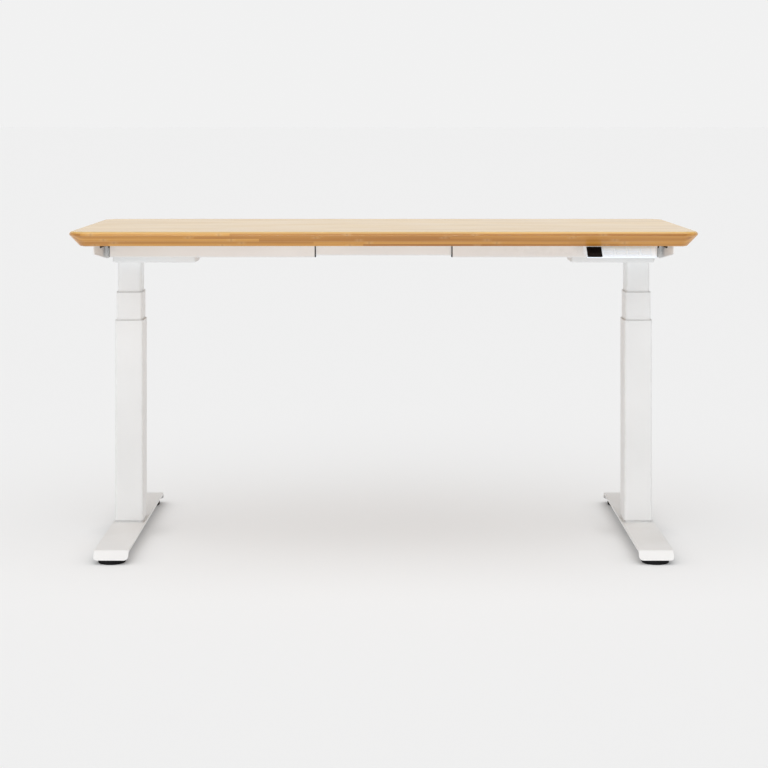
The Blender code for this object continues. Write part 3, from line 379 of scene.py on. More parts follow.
def foot_rings(low, high):
    """Rings of the bent plate, from the front lip's end to the rear lip's end.

    The plate's middle line is flat, then an arc, then a straight lip. A point is given by its turn on
    the arc, its run before or past the arc, its place across the width and its height over the middle
    line: arc centre + (radius + height) * outward + run * forward. Near a lip's end the width narrows
    as a quarter circle, and the last millimetre also draws in all round.
    """
    middle_x, half = (low[0] + high[0]) / 2, (high[1] - low[1]) / 2
    top = low[2] + FOOT_LIP_REACH * math.tan(FOOT_SLOPE)
    arc_y = half - FOOT_LIP_REACH - FOOT_BEND * math.tan(FOOT_SLOPE / 2)
    arc_z = top - FOOT_BEND
    middle_radius = FOOT_BEND - FOOT_PLATE / 2
    lip = (arc_z + middle_radius * math.cos(FOOT_SLOPE) - low[2]) / math.sin(FOOT_SLOPE)

    last = np.linspace(np.radians(4), np.pi / 2, 6)
    near = FOOT_EDGE * (1 - np.cos(last))
    corner = FOOT_CORNER * (1 - np.cos(np.linspace(np.radians(28), np.pi / 2, 12)))
    past = np.concatenate([near, corner[corner > FOOT_EDGE], [0.6 * lip, 0.85 * lip]])
    past = np.sort(past)
    turn = np.concatenate([np.full(len(past), FOOT_SLOPE), np.linspace(FOOT_SLOPE, 0.0, 9), [0.0, 0.0, 0.0]])
    share = np.concatenate([1 - past / lip, np.zeros(12)])
    flat = np.concatenate([np.zeros(len(past) + 9), [0.002, 0.3 * arc_y, 0.96 * arc_y]])
    from_end = np.concatenate([past, np.full(12, lip)])

    half_width = (high[0] - low[0]) / 2
    inset = FOOT_EDGE - np.sqrt(np.maximum(FOOT_EDGE**2 - np.maximum(FOOT_EDGE - from_end, 0) ** 2, 0))
    inset = np.minimum(inset, 0.96 * FOOT_EDGE)
    narrow = FOOT_CORNER - np.sqrt(FOOT_CORNER**2 - np.maximum(FOOT_CORNER - from_end, 0) ** 2)
    width = half_width - np.minimum(narrow, 0.9 * FOOT_CORNER)

    centres, offsets = rounded_outline(2 * half_width, FOOT_PLATE, FOOT_EDGE, 3)
    across = centres[:, 0][None] * ((width - FOOT_EDGE) / (half_width - FOOT_EDGE))[:, None]
    across = across + (FOOT_EDGE - inset)[:, None] * offsets[:, 0]
    height = centres[:, 1][None] + (FOOT_EDGE - inset)[:, None] * offsets[:, 1]
    turn, share, flat = turn[:, None], share[:, None], flat[:, None]
    reach = (arc_z + (middle_radius + height) * np.cos(FOOT_SLOPE) - low[2]) / math.sin(FOOT_SLOPE)
    run = share * reach - flat
    y = arc_y + (middle_radius + height) * np.sin(turn) + run * np.cos(turn)
    z = arc_z + (middle_radius + height) * np.cos(turn) - run * np.sin(turn)
    front = np.stack([middle_x + across, -y, z], -1)
    rear = np.stack([middle_x + across, y, z], -1)
    return np.concatenate([front, rear[::-1]])


foot_low = number_box("foot_left")[0]
column_low, column_high = number_box("outer_tube_left")
FOOT_SLOPE = math.atan2(column_low[2] - FOOT_PAD_HEIGHT - foot_low[2], FOOT_LIP_REACH)
leg_x = -(column_low[0] + column_high[0]) / 2
foot_top = column_low[2] - FOOT_PAD_HEIGHT
for side_name, side in SIDES:
    low, high = number_box("foot_" + side_name)
    x = side * leg_x
    pad = box_rings(*FOOT_PAD, slab_section(foot_top - 0.001, column_low[2] - GAP, 0.0006), place=(x, 0, 0))
    bead = box_rings(*FOOT_BEAD, [(0.0, foot_top - 0.0005), (0.0004, foot_top + 0.0006),
                                  (0.0013, foot_top + 0.0014), (0.003, foot_top + 0.0018)], place=(x, 0, 0))
    boss = [(FOOT_BOSS_BORE, 0.0118), (FOOT_BOSS_RADIUS - 0.0006, 0.0118), (FOOT_BOSS_RADIUS, 0.0124),
            (FOOT_BOSS_RADIUS, foot_top - FOOT_PLATE + 0.001), (FOOT_BOSS_BORE, foot_top - 0.004)]
    bosses = [turned_rings(boss, place=(x, end * (high[1] - FOOT_BOSS_INSET), 0)) for _, end in ENDS]
    fit(skin("foot_" + side_name + "_plate", foot_rings(low, high), pad, bead,
             *[(boss, "tube") for boss in bosses]), white_coat, "white_coat", "base", "foot_" + side_name)
    heads = [socket_screw((x + across * FOOT_SCREW_PLACES[0], along * FOOT_SCREW_PLACES[1],
                           foot_top - FOOT_PLATE), *FOOT_SCREW)
             for across in (-1, 1) for along in (-1, 1)]
    fit(skin("foot_" + side_name + "_screws", *heads), black_screw, "screw_steel", "base")


# Levelling glides. A moulded black foot with a grip of shallow flutes round its rim turns on an M8 stem,
# which runs up through a nut into the boss below the foot's plate.
GLIDE_HEIGHT = 0.0100
GLIDE_FLUTES = 36
FLUTE_DEPTH = 0.0005
GLIDE_STEM = 0.004
STEM_PITCH = 0.00125
STEM_THREAD = 0.0005

black_plastic, tree, shader = material("black_moulding", (0.010, 0.010, 0.011), 0.6, Specular_IOR_Level=0.06)
tone = clouded(tree, 30.0, (0.007, 0.007, 0.0075), (0.013, 0.013, 0.014))
tone = stained(tree, use(tree, settled, Amount=0.06, Patches=50.0)["Mask"], tone, (0.20, 0.19, 0.17))
tone = stained(tree, use(tree, edge_wear, Reach=0.06, Breaks=180.0)["Mask"], tone, (0.03, 0.03, 0.03))
surface(tree, shader, tone, (70.0, 0.42, 0.58), (0.25, 0.0002, 1400.0))

zinc_steel, tree, shader = material("zinc_plated_steel", (0.60, 0.61, 0.62), 0.34, 1.0)
tone = clouded(tree, 60.0, (0.52, 0.53, 0.53), (0.66, 0.66, 0.64))
surface(tree, shader, tone, (120.0, 0.26, 0.42))


def threaded(radius, depth, pitch, low, high, place, around=24, per_turn=8):
    """Rings of a thread: radius less depth times a triangle wave of (height / pitch - angle / full turn)."""
    along = np.linspace(low, high, max(2, int((high - low) / pitch * per_turn)))
    turn = np.arange(around) / around
    wave = np.abs(2 * ((along[:, None] / pitch - turn[None]) % 1.0) - 1.0)
    radii = radius - depth * wave
    circle = np.stack([np.cos(2 * np.pi * turn), np.sin(2 * np.pi * turn)], -1)
    return carried(radii[..., None] * circle, along) + np.array(place)


def fluted_disc(radius, height, place):
    """Rings of the glide: a low drum whose rim wavers with a cosine of GLIDE_FLUTES times the angle."""
    turn = np.arange(288) * 2 * np.pi / 288
    circle = np.stack([np.cos(turn), np.sin(turn)], -1)
    profile = softened([(0.008, 0.0), (radius, 0.0), (radius, height), (0.008, height)],
                       [0.0004, 0.0018, 0.0016, 0.0004], 5)
    ends = profile[:, 0] > radius - 0.004
    depth = FLUTE_DEPTH * ends * (1 - np.abs(2 * profile[:, 1] / height - 1) ** 4)
    radii = profile[:, 0][:, None] - depth[:, None] * (1 - np.cos(GLIDE_FLUTES * turn)[None]) / 2
    return carried(radii[..., None] * circle, profile[:, 1]) + np.array(place)


for side_name, side in SIDES:
    for end_name, end in ENDS:
        name = f"glide_{end_name}_{side_name}"
        low, high = number_box(name)
        place = ((low[0] + high[0]) / 2, (low[1] + high[1]) / 2, 0.0)
        radius = (high[0] - low[0]) / 2
        hub = turned_rings([(0.0078, 0.0005), (0.0082, 0.0002), (0.0082, 0.0098), (0.0078, 0.0101)],
                           place=place)
        fit(skin(name + "_foot", (fluted_disc(radius, GLIDE_HEIGHT, place), "tube"), hub),
            black_plastic, "black_plastic", name + "_body", name)
        stem = threaded(GLIDE_STEM, STEM_THREAD, STEM_PITCH, 0.0098, high[2], place)
        fit(skin(name + "_stem", stem), zinc_steel, "zinc_steel", name + "_body")


# Columns. Three rolled steel box tubes slide inside each other, each drawn with rounded corners and a
# trimmed mouth. The lowest is welded to the foot, the slimmest to the gear head's floor.
TUBE_CORNER = 0.006
TUBE_WALL = 0.0015
TUBE_EDGE = 0.0004
TUBE_BODIES = {"outer": "base", "middle": "middle_stage_{}", "inner": "top_frame"}


def tube_between(low, high, corner, wall, edge, axis="Z"):
    """Rings of an open box tube that fills a box, walls inwards, along the axis."""
    across = {"Z": (0, 1), "X": (1, 2)}[axis]
    run = "XYZ".index(axis)
    middle = (low + high) / 2
    middle[run] = 0.0
    width, depth = (high - low)[list(across)]
    return box_rings(width, depth, corner, rim_section(wall, low[run], high[run], edge), axis, middle)


for side_name, _ in SIDES:
    for stage, body in TUBE_BODIES.items():
        node = f"{stage}_tube_{side_name}"
        low, high = number_box(node)
        rings = tube_between(low, high, TUBE_CORNER, TUBE_WALL, TUBE_EDGE)
        fit(skin(node + "_box", (rings, "tube")), white_coat, "white_coat", body.format(side_name), node)


# Guide collars. Grey acetal liners press into the mouths of the outer and middle tubes: a thin rim shows
# on the mouth, and the sleeve below it keeps the next tube from rattling.
COLLAR_THROAT = 0.0026
COLLAR_SEAT = 0.0018
COLLAR_RIM = 0.002

grey_plastic, tree, shader = material("acetal_liner", (0.68, 0.68, 0.67), 0.5, Specular_IOR_Level=0.4)
tone = clouded(tree, 50.0, (0.65, 0.65, 0.64), (0.71, 0.71, 0.70))
surface(tree, shader, tone, (90.0, 0.42, 0.56), (0.15, 0.0001, 1800.0))

for side_name, side in SIDES:
    for level, body in (("lower", "base"), ("upper", "middle_stage_" + side_name)):
        node = f"{level}_collar_{side_name}"
        low, high = number_box(node)
        width, depth = high[0] - low[0], high[1] - low[1]
        mouth = high[2] - COLLAR_RIM
        section = softened([(0.0, mouth + GAP), (0.0, high[2]), (COLLAR_THROAT, high[2]),
                            (COLLAR_THROAT, low[2]), (COLLAR_SEAT, low[2]), (COLLAR_SEAT, mouth + GAP)],
                           [0.0003, 0.0005, 0.0005, 0.0003, 0.0003, 0.0002], 3)
        rings = box_rings(width, depth, TUBE_CORNER, section, place=(side * leg_x, 0, 0))
        fit(skin(node + "_liner", (rings, "tube")), grey_plastic, "grey_plastic", body, node)


# Lifting screws. On each column's axis a solid spindle turns inside a hollow one, and each climbs a nut at
# the top of a plain steel tube; the four are out of sight inside the column, oiled and bright.
NUT_TUBES = ("base_nut_tube_", "middle_nut_tube_")
SPINDLES = ("inner_spindle_", "outer_spindle_")

screw_steel, tree, shader = material("oiled_screw_steel", (0.48, 0.48, 0.49), 0.28, 1.0)
tone = clouded(tree, 90.0, (0.36, 0.35, 0.33), (0.55, 0.55, 0.56))
surface(tree, shader, tone, (70.0, 0.2, 0.36))


def repaint(node, finish):
    """Gives a CAD node, whose shape is right as it is, a better material."""
    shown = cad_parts[node]
    shown.data.materials.clear()
    shown.data.materials.append(finish)


for side_name, _ in SIDES:
    for node in NUT_TUBES:
        repaint(node + side_name, zinc_steel)
    for node in SPINDLES:
        repaint(node + side_name, screw_steel)


# Gear drives. In each head a cast alloy gearbox holds a bronze wheel on the spindle and a steel worm on
# the shaft of a small motor in a rolled can, which lies along the desk.
cast_alloy, tree, shader = material("cast_alloy", (0.60, 0.60, 0.59), 0.48, 1.0)
tone = clouded(tree, 40.0, (0.50, 0.50, 0.49), (0.64, 0.64, 0.63))
surface(tree, shader, tone, (80.0, 0.42, 0.6), (0.3, 0.0003, 500.0))

bronze, tree, shader = material("gear_bronze", (0.58, 0.38, 0.17), 0.34, 1.0)
tone = clouded(tree, 120.0, (0.50, 0.31, 0.13), (0.64, 0.43, 0.20))
surface(tree, shader, tone, (90.0, 0.26, 0.4))

motor_steel, tree, shader = material("motor_can", (0.33, 0.34, 0.35), 0.4, 1.0)
tone = clouded(tree, 25.0, (0.28, 0.29, 0.30), (0.38, 0.39, 0.40))
surface(tree, shader, tone, (60.0, 0.32, 0.48))

for side_name, _ in SIDES:
    repaint("gearbox_" + side_name, cast_alloy)
    repaint("worm_wheel_" + side_name, bronze)
    repaint("worm_shaft_" + side_name, screw_steel)
    repaint("motor_" + side_name, motor_steel)


# Gear head housings. A deep-drawn steel tray with rounded corners carries the gearbox and motor, is
# powder coated with the frame, and lets the motor's lead out through a rubber grommet at its inner end.
HOUSING_WALL = 0.002
HOUSING_CORNER = 0.007
HOUSING_EDGE = 0.004
HOUSING_GROMMET = 0.004
LEAD_RADIUS = 0.0024


def grommet_rings(x, y, z, radius, axis="X"):
    """Closed rings of a rubber grommet round a lead, its two lips astride the sheet."""
    bore = LEAD_RADIUS
    lip, half = radius + 0.0018, 0.0035
    section = softened([(bore, -half), (lip, -half), (lip, half), (bore, half)],
                       [0.0006, 0.0012, 0.0012, 0.0006], 4)
    return turned_rings(section, axis, (x, y, z), 32)


lead_z = float(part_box("motor_lead_left")[0].z + LEAD_RADIUS)
for side_name, side in SIDES:
    node = "motor_housing_" + side_name
    low, high = number_box(node)
    middle = (low + high) / 2
    turn = np.linspace(0.0, np.pi / 2, 8)
    edge = np.stack([HOUSING_EDGE * (1 - np.sin(turn)), low[2] + HOUSING_EDGE * (1 - np.cos(turn))], -1)
    lip = softened([(0.0, high[2] - 0.004), (0.0, high[2]), (HOUSING_WALL, high[2]),
                    (HOUSING_WALL, low[2] + HOUSING_WALL)], [0.0003, 0.0006, 0.0006, 0.0012], 4)
    section = [(HOUSING_EDGE + 0.001, low[2]), *edge, (0.0, low[2] + HOUSING_EDGE + 0.001),
               *lip[5:-1], (HOUSING_WALL + 0.001, low[2] + HOUSING_WALL)]
    rings = box_rings(high[0] - low[0], high[1] - low[1], HOUSING_CORNER, section,
                      place=(middle[0], middle[1], 0), steps=9)
    fit(skin(node + "_tray", rings), white_coat, "white_coat", "top_frame", node)
    inner_end = side * min(abs(low[0]), abs(high[0]))
    fit(skin(node + "_grommet", (grommet_rings(inner_end, 0, lead_z, HOUSING_GROMMET), "tube")),
        black_plastic, "black_plastic", "top_frame")


# Saddles. Over each head a folded 3 mm steel cap, open at its inner end, is screwed through its flanges to
# both rails and to the side bracket, so that the leg hangs from the frame.
SADDLE_SHEET = 0.003
SADDLE_BEND = 0.004
SADDLE_FLANGE_OUTBOARD = 0.035
SADDLE_TAB_HALF = 0.040
SADDLE_SCREW = (0.006, 0.0033)
SADDLE_SCREW_RUNS = (0.012, 0.125)
SADDLE_SCREW_Y = 0.066

for side_name, side in SIDES:
    node = "saddle_" + side_name
    low, high = number_box(node)
    depth = (high[1] - low[1]) / 2
    inner = depth - SADDLE_SHEET
    channel = softened([(-depth, low[2]), (-inner, low[2]), (-inner, high[2] - SADDLE_SHEET),
                        (inner, high[2] - SADDLE_SHEET), (inner, low[2]), (depth, low[2]),
                        (depth, high[2]), (-depth, high[2])],
                       [0.0005, 0.0005, SADDLE_BEND - SADDLE_SHEET, SADDLE_BEND - SADDLE_SHEET,
                        0.0005, 0.0005, SADDLE_BEND, SADDLE_BEND])
    ends = sorted((abs(low[0]), abs(high[0])))
    flange_end = leg_x + SADDLE_FLANGE_OUTBOARD
    stations = side * np.array([ends[0], ends[0] + 0.004, flange_end - 0.004, flange_end])
    rings = carried(np.repeat(channel[None], len(stations), 0), stations, "X")
    reach = side * np.array([flange_end - 0.001, flange_end + 0.002, ends[1] - 0.002, ends[1]])
    sheet = box_rings(2 * depth, SADDLE_SHEET, 0.0005, np.stack([np.zeros(4), reach], -1), "X",
                      (0, 0, high[2] - SADDLE_SHEET / 2), 3)
    tab = box_rings(2 * SADDLE_TAB_HALF, high[2] - low[2] - 0.001, 0.0015,
                    slab_section(0.0, SADDLE_SHEET, 0.0005), "X",
                    (side * ends[1] - (SADDLE_SHEET if side > 0 else 0.0), 0,
                     (low[2] + high[2] - 0.001) / 2), 4)
    fit(skin(node + "_cap", rings, sheet, tab), white_coat, "white_coat", "top_frame", node)
    heads = [socket_screw((side * (ends[0] + run), along * SADDLE_SCREW_Y, high[2] - SADDLE_SHEET),
                          *SADDLE_SCREW) for run in SADDLE_SCREW_RUNS for along in (-1, 1)]
    fit(skin(node + "_screws", *heads), black_screw, "screw_steel", "top_frame")


# Rails. Front and rear, a slim rolled tube slides in two wider ones, which lets the frame suit tops of
# several widths. Black plugs close the outer ends, and each plug's tab reaches out into the gap by the side
# bracket as a dark block, painted shade for that gap. Thin black collars line the inner mouths.
RAIL_WALL = 0.002
RAIL_CORNER = 0.003
RAIL_EDGE = 0.0005
PLUG_FLANGE = 0.0014
PLUG_SHADE_TAB = (0.0036, 0.015)
MOUTH_COLLAR = 0.0028
RAIL_SCREW = (0.0055, 0.003)
RAIL_SCREWS = (0.025, 0.075)
LEAD_HOLE = 0.006

for end_name, end in ENDS:
    for part, side in (("left", -1), ("centre", 0), ("right", 1)):
        node = f"{end_name}_rail_{part}"
        low, high = number_box(node)
        rings = tube_between(low, high, RAIL_CORNER, RAIL_WALL, RAIL_EDGE, "X")
        piece = skin(node + "_tube", (rings, "tube"))
        if (end_name, part) == ("front", "right"):
            bore = [(LEAD_HOLE, low[1] - 0.01), (LEAD_HOLE, high[1] + 0.01)]
            lead_x = float(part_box("handset_lead")[1].x - LEAD_RADIUS)
            carve(piece, turned_rings(bore, "Y", (lead_x, 0, lead_z), 40))
        fit(piece, white_coat, "white_coat", "top_frame", node)
        if not side:
            continue
        width, depth = high[1] - low[1], high[2] - low[2]
        y, z = (low[1] + high[1]) / 2, (low[2] + high[2]) / 2
        outer_end, inner_end = sorted((low[0], high[0]), key=abs, reverse=True)
        section = np.array([(0.0036, -0.016), (0.0024, -0.0155), (0.0022, 0.0003), (0.0010, 0.0003),
                            (0.0006, 0.0004), (0.0005, 0.0006), (0.0005, PLUG_FLANGE - 0.0004),
                            (0.0008, PLUG_FLANGE - 0.0001), (0.0012, PLUG_FLANGE)])
        section[:, 1] = outer_end + side * section[:, 1]
        plug = box_rings(width, depth, 0.004, section, "X", (0, y, z), 5)
        # The tab stands out into the gap by the side bracket: a dark block of painted shade for that gap.
        tab_out, tab_high = PLUG_SHADE_TAB
        tab = slab_section(0.0, tab_out, 0.0008)
        tab[:, 1] = outer_end + side * tab[:, 1]
        tab = box_rings(width - 0.002, tab_high, 0.002, tab, "X", (0, y, high[2] - 0.0006 - tab_high / 2), 4)
        fit(skin(node + "_plug", plug, tab), black_plastic, "black_plastic", "top_frame")
        seat = softened([(0.0003, -MOUTH_COLLAR), (0.0003, -GAP), (0.0023, -GAP), (0.0023, 0.012),
                         (0.0029, 0.012), (0.0029, -MOUTH_COLLAR)],
                        [0.0005, 0.0003, 0.0002, 0.0002, 0.0002, 0.0005], 3)
        seat[:, 1] = inner_end + side * seat[:, 1]
        liner = box_rings(width, depth, 0.0035, seat, "X", (0, y, z), 5)
        fit(skin(node + "_mouth", (liner, "tube")), black_plastic, "black_plastic", "top_frame")
        inner_face = low[1] if end > 0 else high[1]
        head = socket_screw((0, 0, 0), *RAIL_SCREW, down=False)
        head = np.stack([head[..., 0], -end * head[..., 2], head[..., 1]], -1)
        heads = [head + np.array([inner_end + side * reach, inner_face, z]) for reach in RAIL_SCREWS]
        fit(skin(node + "_screws", *heads), black_screw, "screw_steel", "top_frame")


# Side brackets. A long arm folded from 2.5 mm sheet runs from front to back under each end of the top. Its
# web tapers towards both ends, its two oblong slots are filled with black as painted shade for the holes, and
# screws hold its flange up.
BRACKET_SHEET = 0.0025
BRACKET_BEND = 0.003
BRACKET_TAPER = 0.205
BRACKET_END = 0.0215
BRACKET_SLOT = (0.068, 0.009, 0.004)
SLOT_OFFSET = 0.140
BRACKET_SCREW = (0.0055, 0.0018)
BRACKET_SCREW_REACH = 0.0125
BRACKET_SCREWS = (-0.185, -0.120, -0.045, 0.045, 0.120, 0.185)

for side_name, side in SIDES:
    node = "side_bracket_" + side_name
    low, high = number_box(node)
    web_in, flange_out = sorted((abs(low[0]), abs(high[0])))
    web_out, top, half = web_in + BRACKET_SHEET, high[2], high[1]
    corners = [(web_out, top - BRACKET_SHEET), (web_out, low[2]), (web_in, low[2]), (web_in, top),
               (flange_out, top), (flange_out, top - BRACKET_SHEET)]
    section = softened(corners, [BRACKET_BEND - BRACKET_SHEET, 0.0004, 0.0004, BRACKET_BEND, 0.0004,
                                 0.0004])
    stations = np.array([-half, -half + 0.0003, -half + 0.0015, BRACKET_TAPER - half - 0.003,
                         BRACKET_TAPER - half, BRACKET_TAPER - half + 0.003])
    stations = np.concatenate([stations, -stations[::-1]])
    reach = np.minimum((half - np.abs(stations)) / BRACKET_TAPER, 1.0)
    drop = BRACKET_END + (top - low[2] - BRACKET_END) * reach
    plane = np.repeat(section[None], len(stations), 0)
    hanging = plane[..., 1] < top - BRACKET_SHEET - 0.004
    foot_z = plane[..., 1] - low[2] + top - drop[:, None]
    plane[..., 1] = np.where(hanging, foot_z, plane[..., 1])
    rings = np.stack([side * plane[..., 0], np.broadcast_to(stations[:, None], plane.shape[:2]),
                      plane[..., 1]], -1)
    piece = skin(node + "_arm", rings)
    length, height, down = BRACKET_SLOT
    slots = [box_rings(length, height, height / 2 - 0.00001, [(0.0, side * (web_in - 0.004)),
                                                              (0.0, side * (web_out + 0.004))], "X",
                       (0, end * SLOT_OFFSET, top - down - height / 2), 9) for _, end in ENDS]
    carve(piece, *slots)
    fit(piece, white_coat, "white_coat", "top_frame", node)
    # Black fills in the slots: painted shade standing in for the dark inside the holes.
    painted_slot_shades = []
    for _, end in ENDS:
        face = slab_section(0.0, BRACKET_SHEET + 0.0006, 0.0003, 2)
        face[:, 1] = side * (web_in - 0.0002 + face[:, 1])
        painted_slot_shades.append(box_rings(length - 0.0006, height - 0.0006, height / 2 - 0.0004, face, "X",
                                 (0, end * SLOT_OFFSET, top - down - height / 2), 9))
    fit(skin(node + "_inserts", *painted_slot_shades), black_plastic, "black_plastic", "top_frame")
    heads = [socket_screw((side * (web_out + BRACKET_SCREW_REACH), y, top - BRACKET_SHEET), *BRACKET_SCREW)
             for y in BRACKET_SCREWS]
    fit(skin(node + "_screws", *heads), black_screw, "screw_steel", "top_frame")


# Desktop. Carbonised bamboo strips are glued side by side along the desk's length into a 36 mm panel,
# shaped with a rounded upper edge and a broad bevel cut back underneath, and lacquered all over.
TOP_CORNER = 0.045
TOP_ROUNDOVER = (0.009, 0.0065)
TOP_BEVEL = (0.026, 0.027)
TOP_ARRIS = 0.0012
STRIP_WIDTH = 0.0066
PLY_HEIGHT = 0.0120
STRIP_LENGTH = 0.62
KNUCKLE_SPACING = 0.31
PAINTED_SHEEN_TONE = (1.0, 0.72, 0.25)
LACQUER = 0.62


def soft_corner(before, corner, after):
    """Five points of the quadratic curve that leaves and meets the two sides of a corner."""
    share = np.linspace(0.0, 1.0, 5)[:, None]
    return (1 - share) ** 2 * before + 2 * share * (1 - share) * corner + share ** 2 * after


def stretched_noise(tree, spot, scale, detail):
    """Noise with its own scale in each direction, so that it can be drawn out along the desk."""
    place = put(tree, "Mapping", Vector=spot, Scale=scale).outputs[0]
    return put(tree, "TexNoise", Vector=place, Scale=1.0, Detail=detail).outputs[0]


def off_middle(tree, value):
    """How far a value lies from the middle of its own unit step, from 0 to a half."""
    return reckon(tree, "ABSOLUTE", reckon(tree, "SUBTRACT", reckon(tree, "FRACT", value), 0.5))


low, high = number_box("desktop")
underside, table_top = low[2], high[2]
bevel_in, bevel_up = TOP_BEVEL
turn = np.linspace(0.0, np.pi / 2, 13)
upper = np.stack([TOP_ROUNDOVER[0] * (1 - np.cos(turn)),
                  table_top - TOP_ROUNDOVER[1] * (1 - np.sin(turn))], -1)
nose = np.array((0.0, underside + bevel_up))
slope = np.array([bevel_in, -bevel_up]) / math.hypot(bevel_in, bevel_up)
soft_nose = soft_corner(nose + np.array((0, TOP_ARRIS)), nose, nose + TOP_ARRIS * slope)
heel = np.array((bevel_in, underside))
soft_heel = soft_corner(heel - 0.7 * TOP_ARRIS * slope, heel, heel + (0.7 * TOP_ARRIS, 0.0))
section = np.concatenate([[(bevel_in + 0.003, underside)], soft_heel[::-1], soft_heel[:1] - 0.001 * slope,
                          soft_nose[-1:] + 0.001 * slope, soft_nose[::-1], upper,
                          [(TOP_ROUNDOVER[0] + 0.0015, table_top)]])
panel = box_rings(high[0] - low[0], high[1] - low[1], TOP_CORNER, section, steps=24)

bamboo, tree, shader = material("lacquered_bamboo", (0.55, 0.33, 0.13), 0.36, Coat_Roughness=0.14,
                                Specular_IOR_Level=0.3)
spot = put(tree, "TexCoord").outputs["Object"]
along, across, up = put(tree, "SeparateXYZ", spot).outputs
waver = stretched_noise(tree, spot, (1.5, 9.0, 9.0), 2.0)
waver = reckon(tree, "MULTIPLY", reckon(tree, "SUBTRACT", waver, 0.5), 0.004)
strip = reckon(tree, "DIVIDE", reckon(tree, "ADD", across, waver), STRIP_WIDTH)
ply = reckon(tree, "DIVIDE", reckon(tree, "ADD", reckon(tree, "SUBTRACT", up, table_top), waver), PLY_HEIGHT)
strip_number, ply_number = reckon(tree, "FLOOR", strip), reckon(tree, "FLOOR", ply)
place = put(tree, "CombineXYZ", strip_number, ply_number, 0.0).outputs[0]
strip_dice = put(tree, "TexWhiteNoise", place, noise_dimensions="3D")
red, _, blue = put(tree, "SeparateColor", strip_dice.outputs["Color"]).outputs
length = reckon(tree, "ADD", reckon(tree, "DIVIDE", along, STRIP_LENGTH), reckon(tree, "MULTIPLY", red, 9.0))
place = put(tree, "CombineXYZ", strip_number, ply_number, reckon(tree, "FLOOR", length)).outputs[0]
piece_dice = put(tree, "TexWhiteNoise", place, noise_dimensions="3D").outputs["Value"]

streaks = stretched_noise(tree, spot, (2.2, 150.0, 150.0), 3.0)
fibres = stretched_noise(tree, spot, (9.0, 1300.0, 1300.0), 2.0)
patches = stretched_noise(tree, spot, (2.0, 7.0, 7.0), 2.0)
tone = reckon(tree, "MULTIPLY", piece_dice, 0.34)
for source, weight in ((streaks, 0.62), (fibres, 0.26), (patches, 0.30)):
    tone = reckon(tree, "ADD", tone, reckon(tree, "MULTIPLY", source, weight))
tone = reckon(tree, "SUBTRACT", tone, 0.26)
wood = put(tree, "ValToRGB", tone)
BAMBOO_TONES = ((0.12, (0.33, 0.120, 0.018)), (0.36, (0.45, 0.190, 0.032)), (0.56, (0.56, 0.260, 0.048)),
                (0.78, (0.65, 0.335, 0.078)), (0.95, (0.76, 0.440, 0.130)))
ramp = wood.color_ramp
for number, (at, colour) in enumerate(BAMBOO_TONES):
    stop = ramp.elements[number] if number < 2 else ramp.elements.new(at)
    stop.position, stop.color = at, (*colour, 1.0)

joint = put(tree, "MapRange", off_middle(tree, strip), 0.470, 0.497, 0.0, 1.0).outputs[0]
colour = stained(tree, reckon(tree, "MULTIPLY", joint, 0.30), wood.outputs[0], (0.30, 0.145, 0.045))
glue = put(tree, "MapRange", off_middle(tree, ply), 0.465, 0.495, 0.0, 1.0).outputs[0]
colour = stained(tree, reckon(tree, "MULTIPLY", glue, 0.45), colour, (0.84, 0.56, 0.26))
knuckle = reckon(tree, "DIVIDE", along, KNUCKLE_SPACING)
knuckle = off_middle(tree, reckon(tree, "ADD", knuckle, reckon(tree, "MULTIPLY", blue, 7.0)))
scar = put(tree, "MapRange", knuckle, 0.012, 0.003, 0.0, 1.0).outputs[0]
halo = put(tree, "MapRange", knuckle, 0.045, 0.012, 0.0, 1.0).outputs[0]
colour = stained(tree, reckon(tree, "MULTIPLY", halo, 0.22), colour, (0.70, 0.46, 0.20))
colour = stained(tree, reckon(tree, "MULTIPLY", scar, 0.30), colour, (0.30, 0.115, 0.026))
# Faces that look up are mixed towards a pale tone by how far they face up: a painted sheen where the lacquer
# catches the sky.
facing = put(tree, "SeparateXYZ", put(tree, "NewGeometry").outputs["Normal"]).outputs[2]
painted_sheen = put(tree, "MapRange", facing, 0.25, 0.90, 0.0, 0.50).outputs[0]
colour = stained(tree, painted_sheen, colour, PAINTED_SHEEN_TONE)
colour = stained(tree, use(tree, settled, Amount=0.03)["Mask"], colour, (0.66, 0.62, 0.56))
surface(tree, shader, colour, (6.0, 0.32, 0.42))
worn = use(tree, edge_wear, Reach=0.03, Breaks=25.0)["Mask"]
lacquer = reckon(tree, "SUBTRACT", LACQUER, reckon(tree, "MULTIPLY", worn, 0.3))
tree.links.new(lacquer, shader.inputs["Coat Weight"])
relief = reckon(tree, "SUBTRACT", reckon(tree, "MULTIPLY", fibres, 0.5), reckon(tree, "MULTIPLY", joint, 0.4))
relief = put(tree, "Bump", Strength=0.12, Distance=0.0003, Height=relief)
tree.links.new(relief.outputs[0], shader.inputs["Normal"])
fit(skin("desktop_panel", panel), bamboo, "bamboo", "top_frame", "desktop")


# Control box. A shallow black moulded case hangs between the rails, vented on both long sides and closed
# from below by a screwed cover; the mains inlet is on its back.
BOX_CORNER = 0.005
BOX_EDGE = 0.0015
BOX_SCREW = (0.0032, 0.0016)
BOX_SCREW_INSET = 0.010
DIMPLE_RADIUS = 0.0042
VENTS = 11
VENT_SIZE = (0.0030, 0.018, 0.0014)
VENT_BITE = 0.002
VENT_PITCH = 0.0085
INLET_WALL = 0.003
INLET_FLOOR = 0.003
PIN_SIZE = (0.0018, 0.0045, 0.0007)
PIN_PLACES = ((-0.0060, -0.002), (0.0060, -0.002), (0.0, 0.0025))

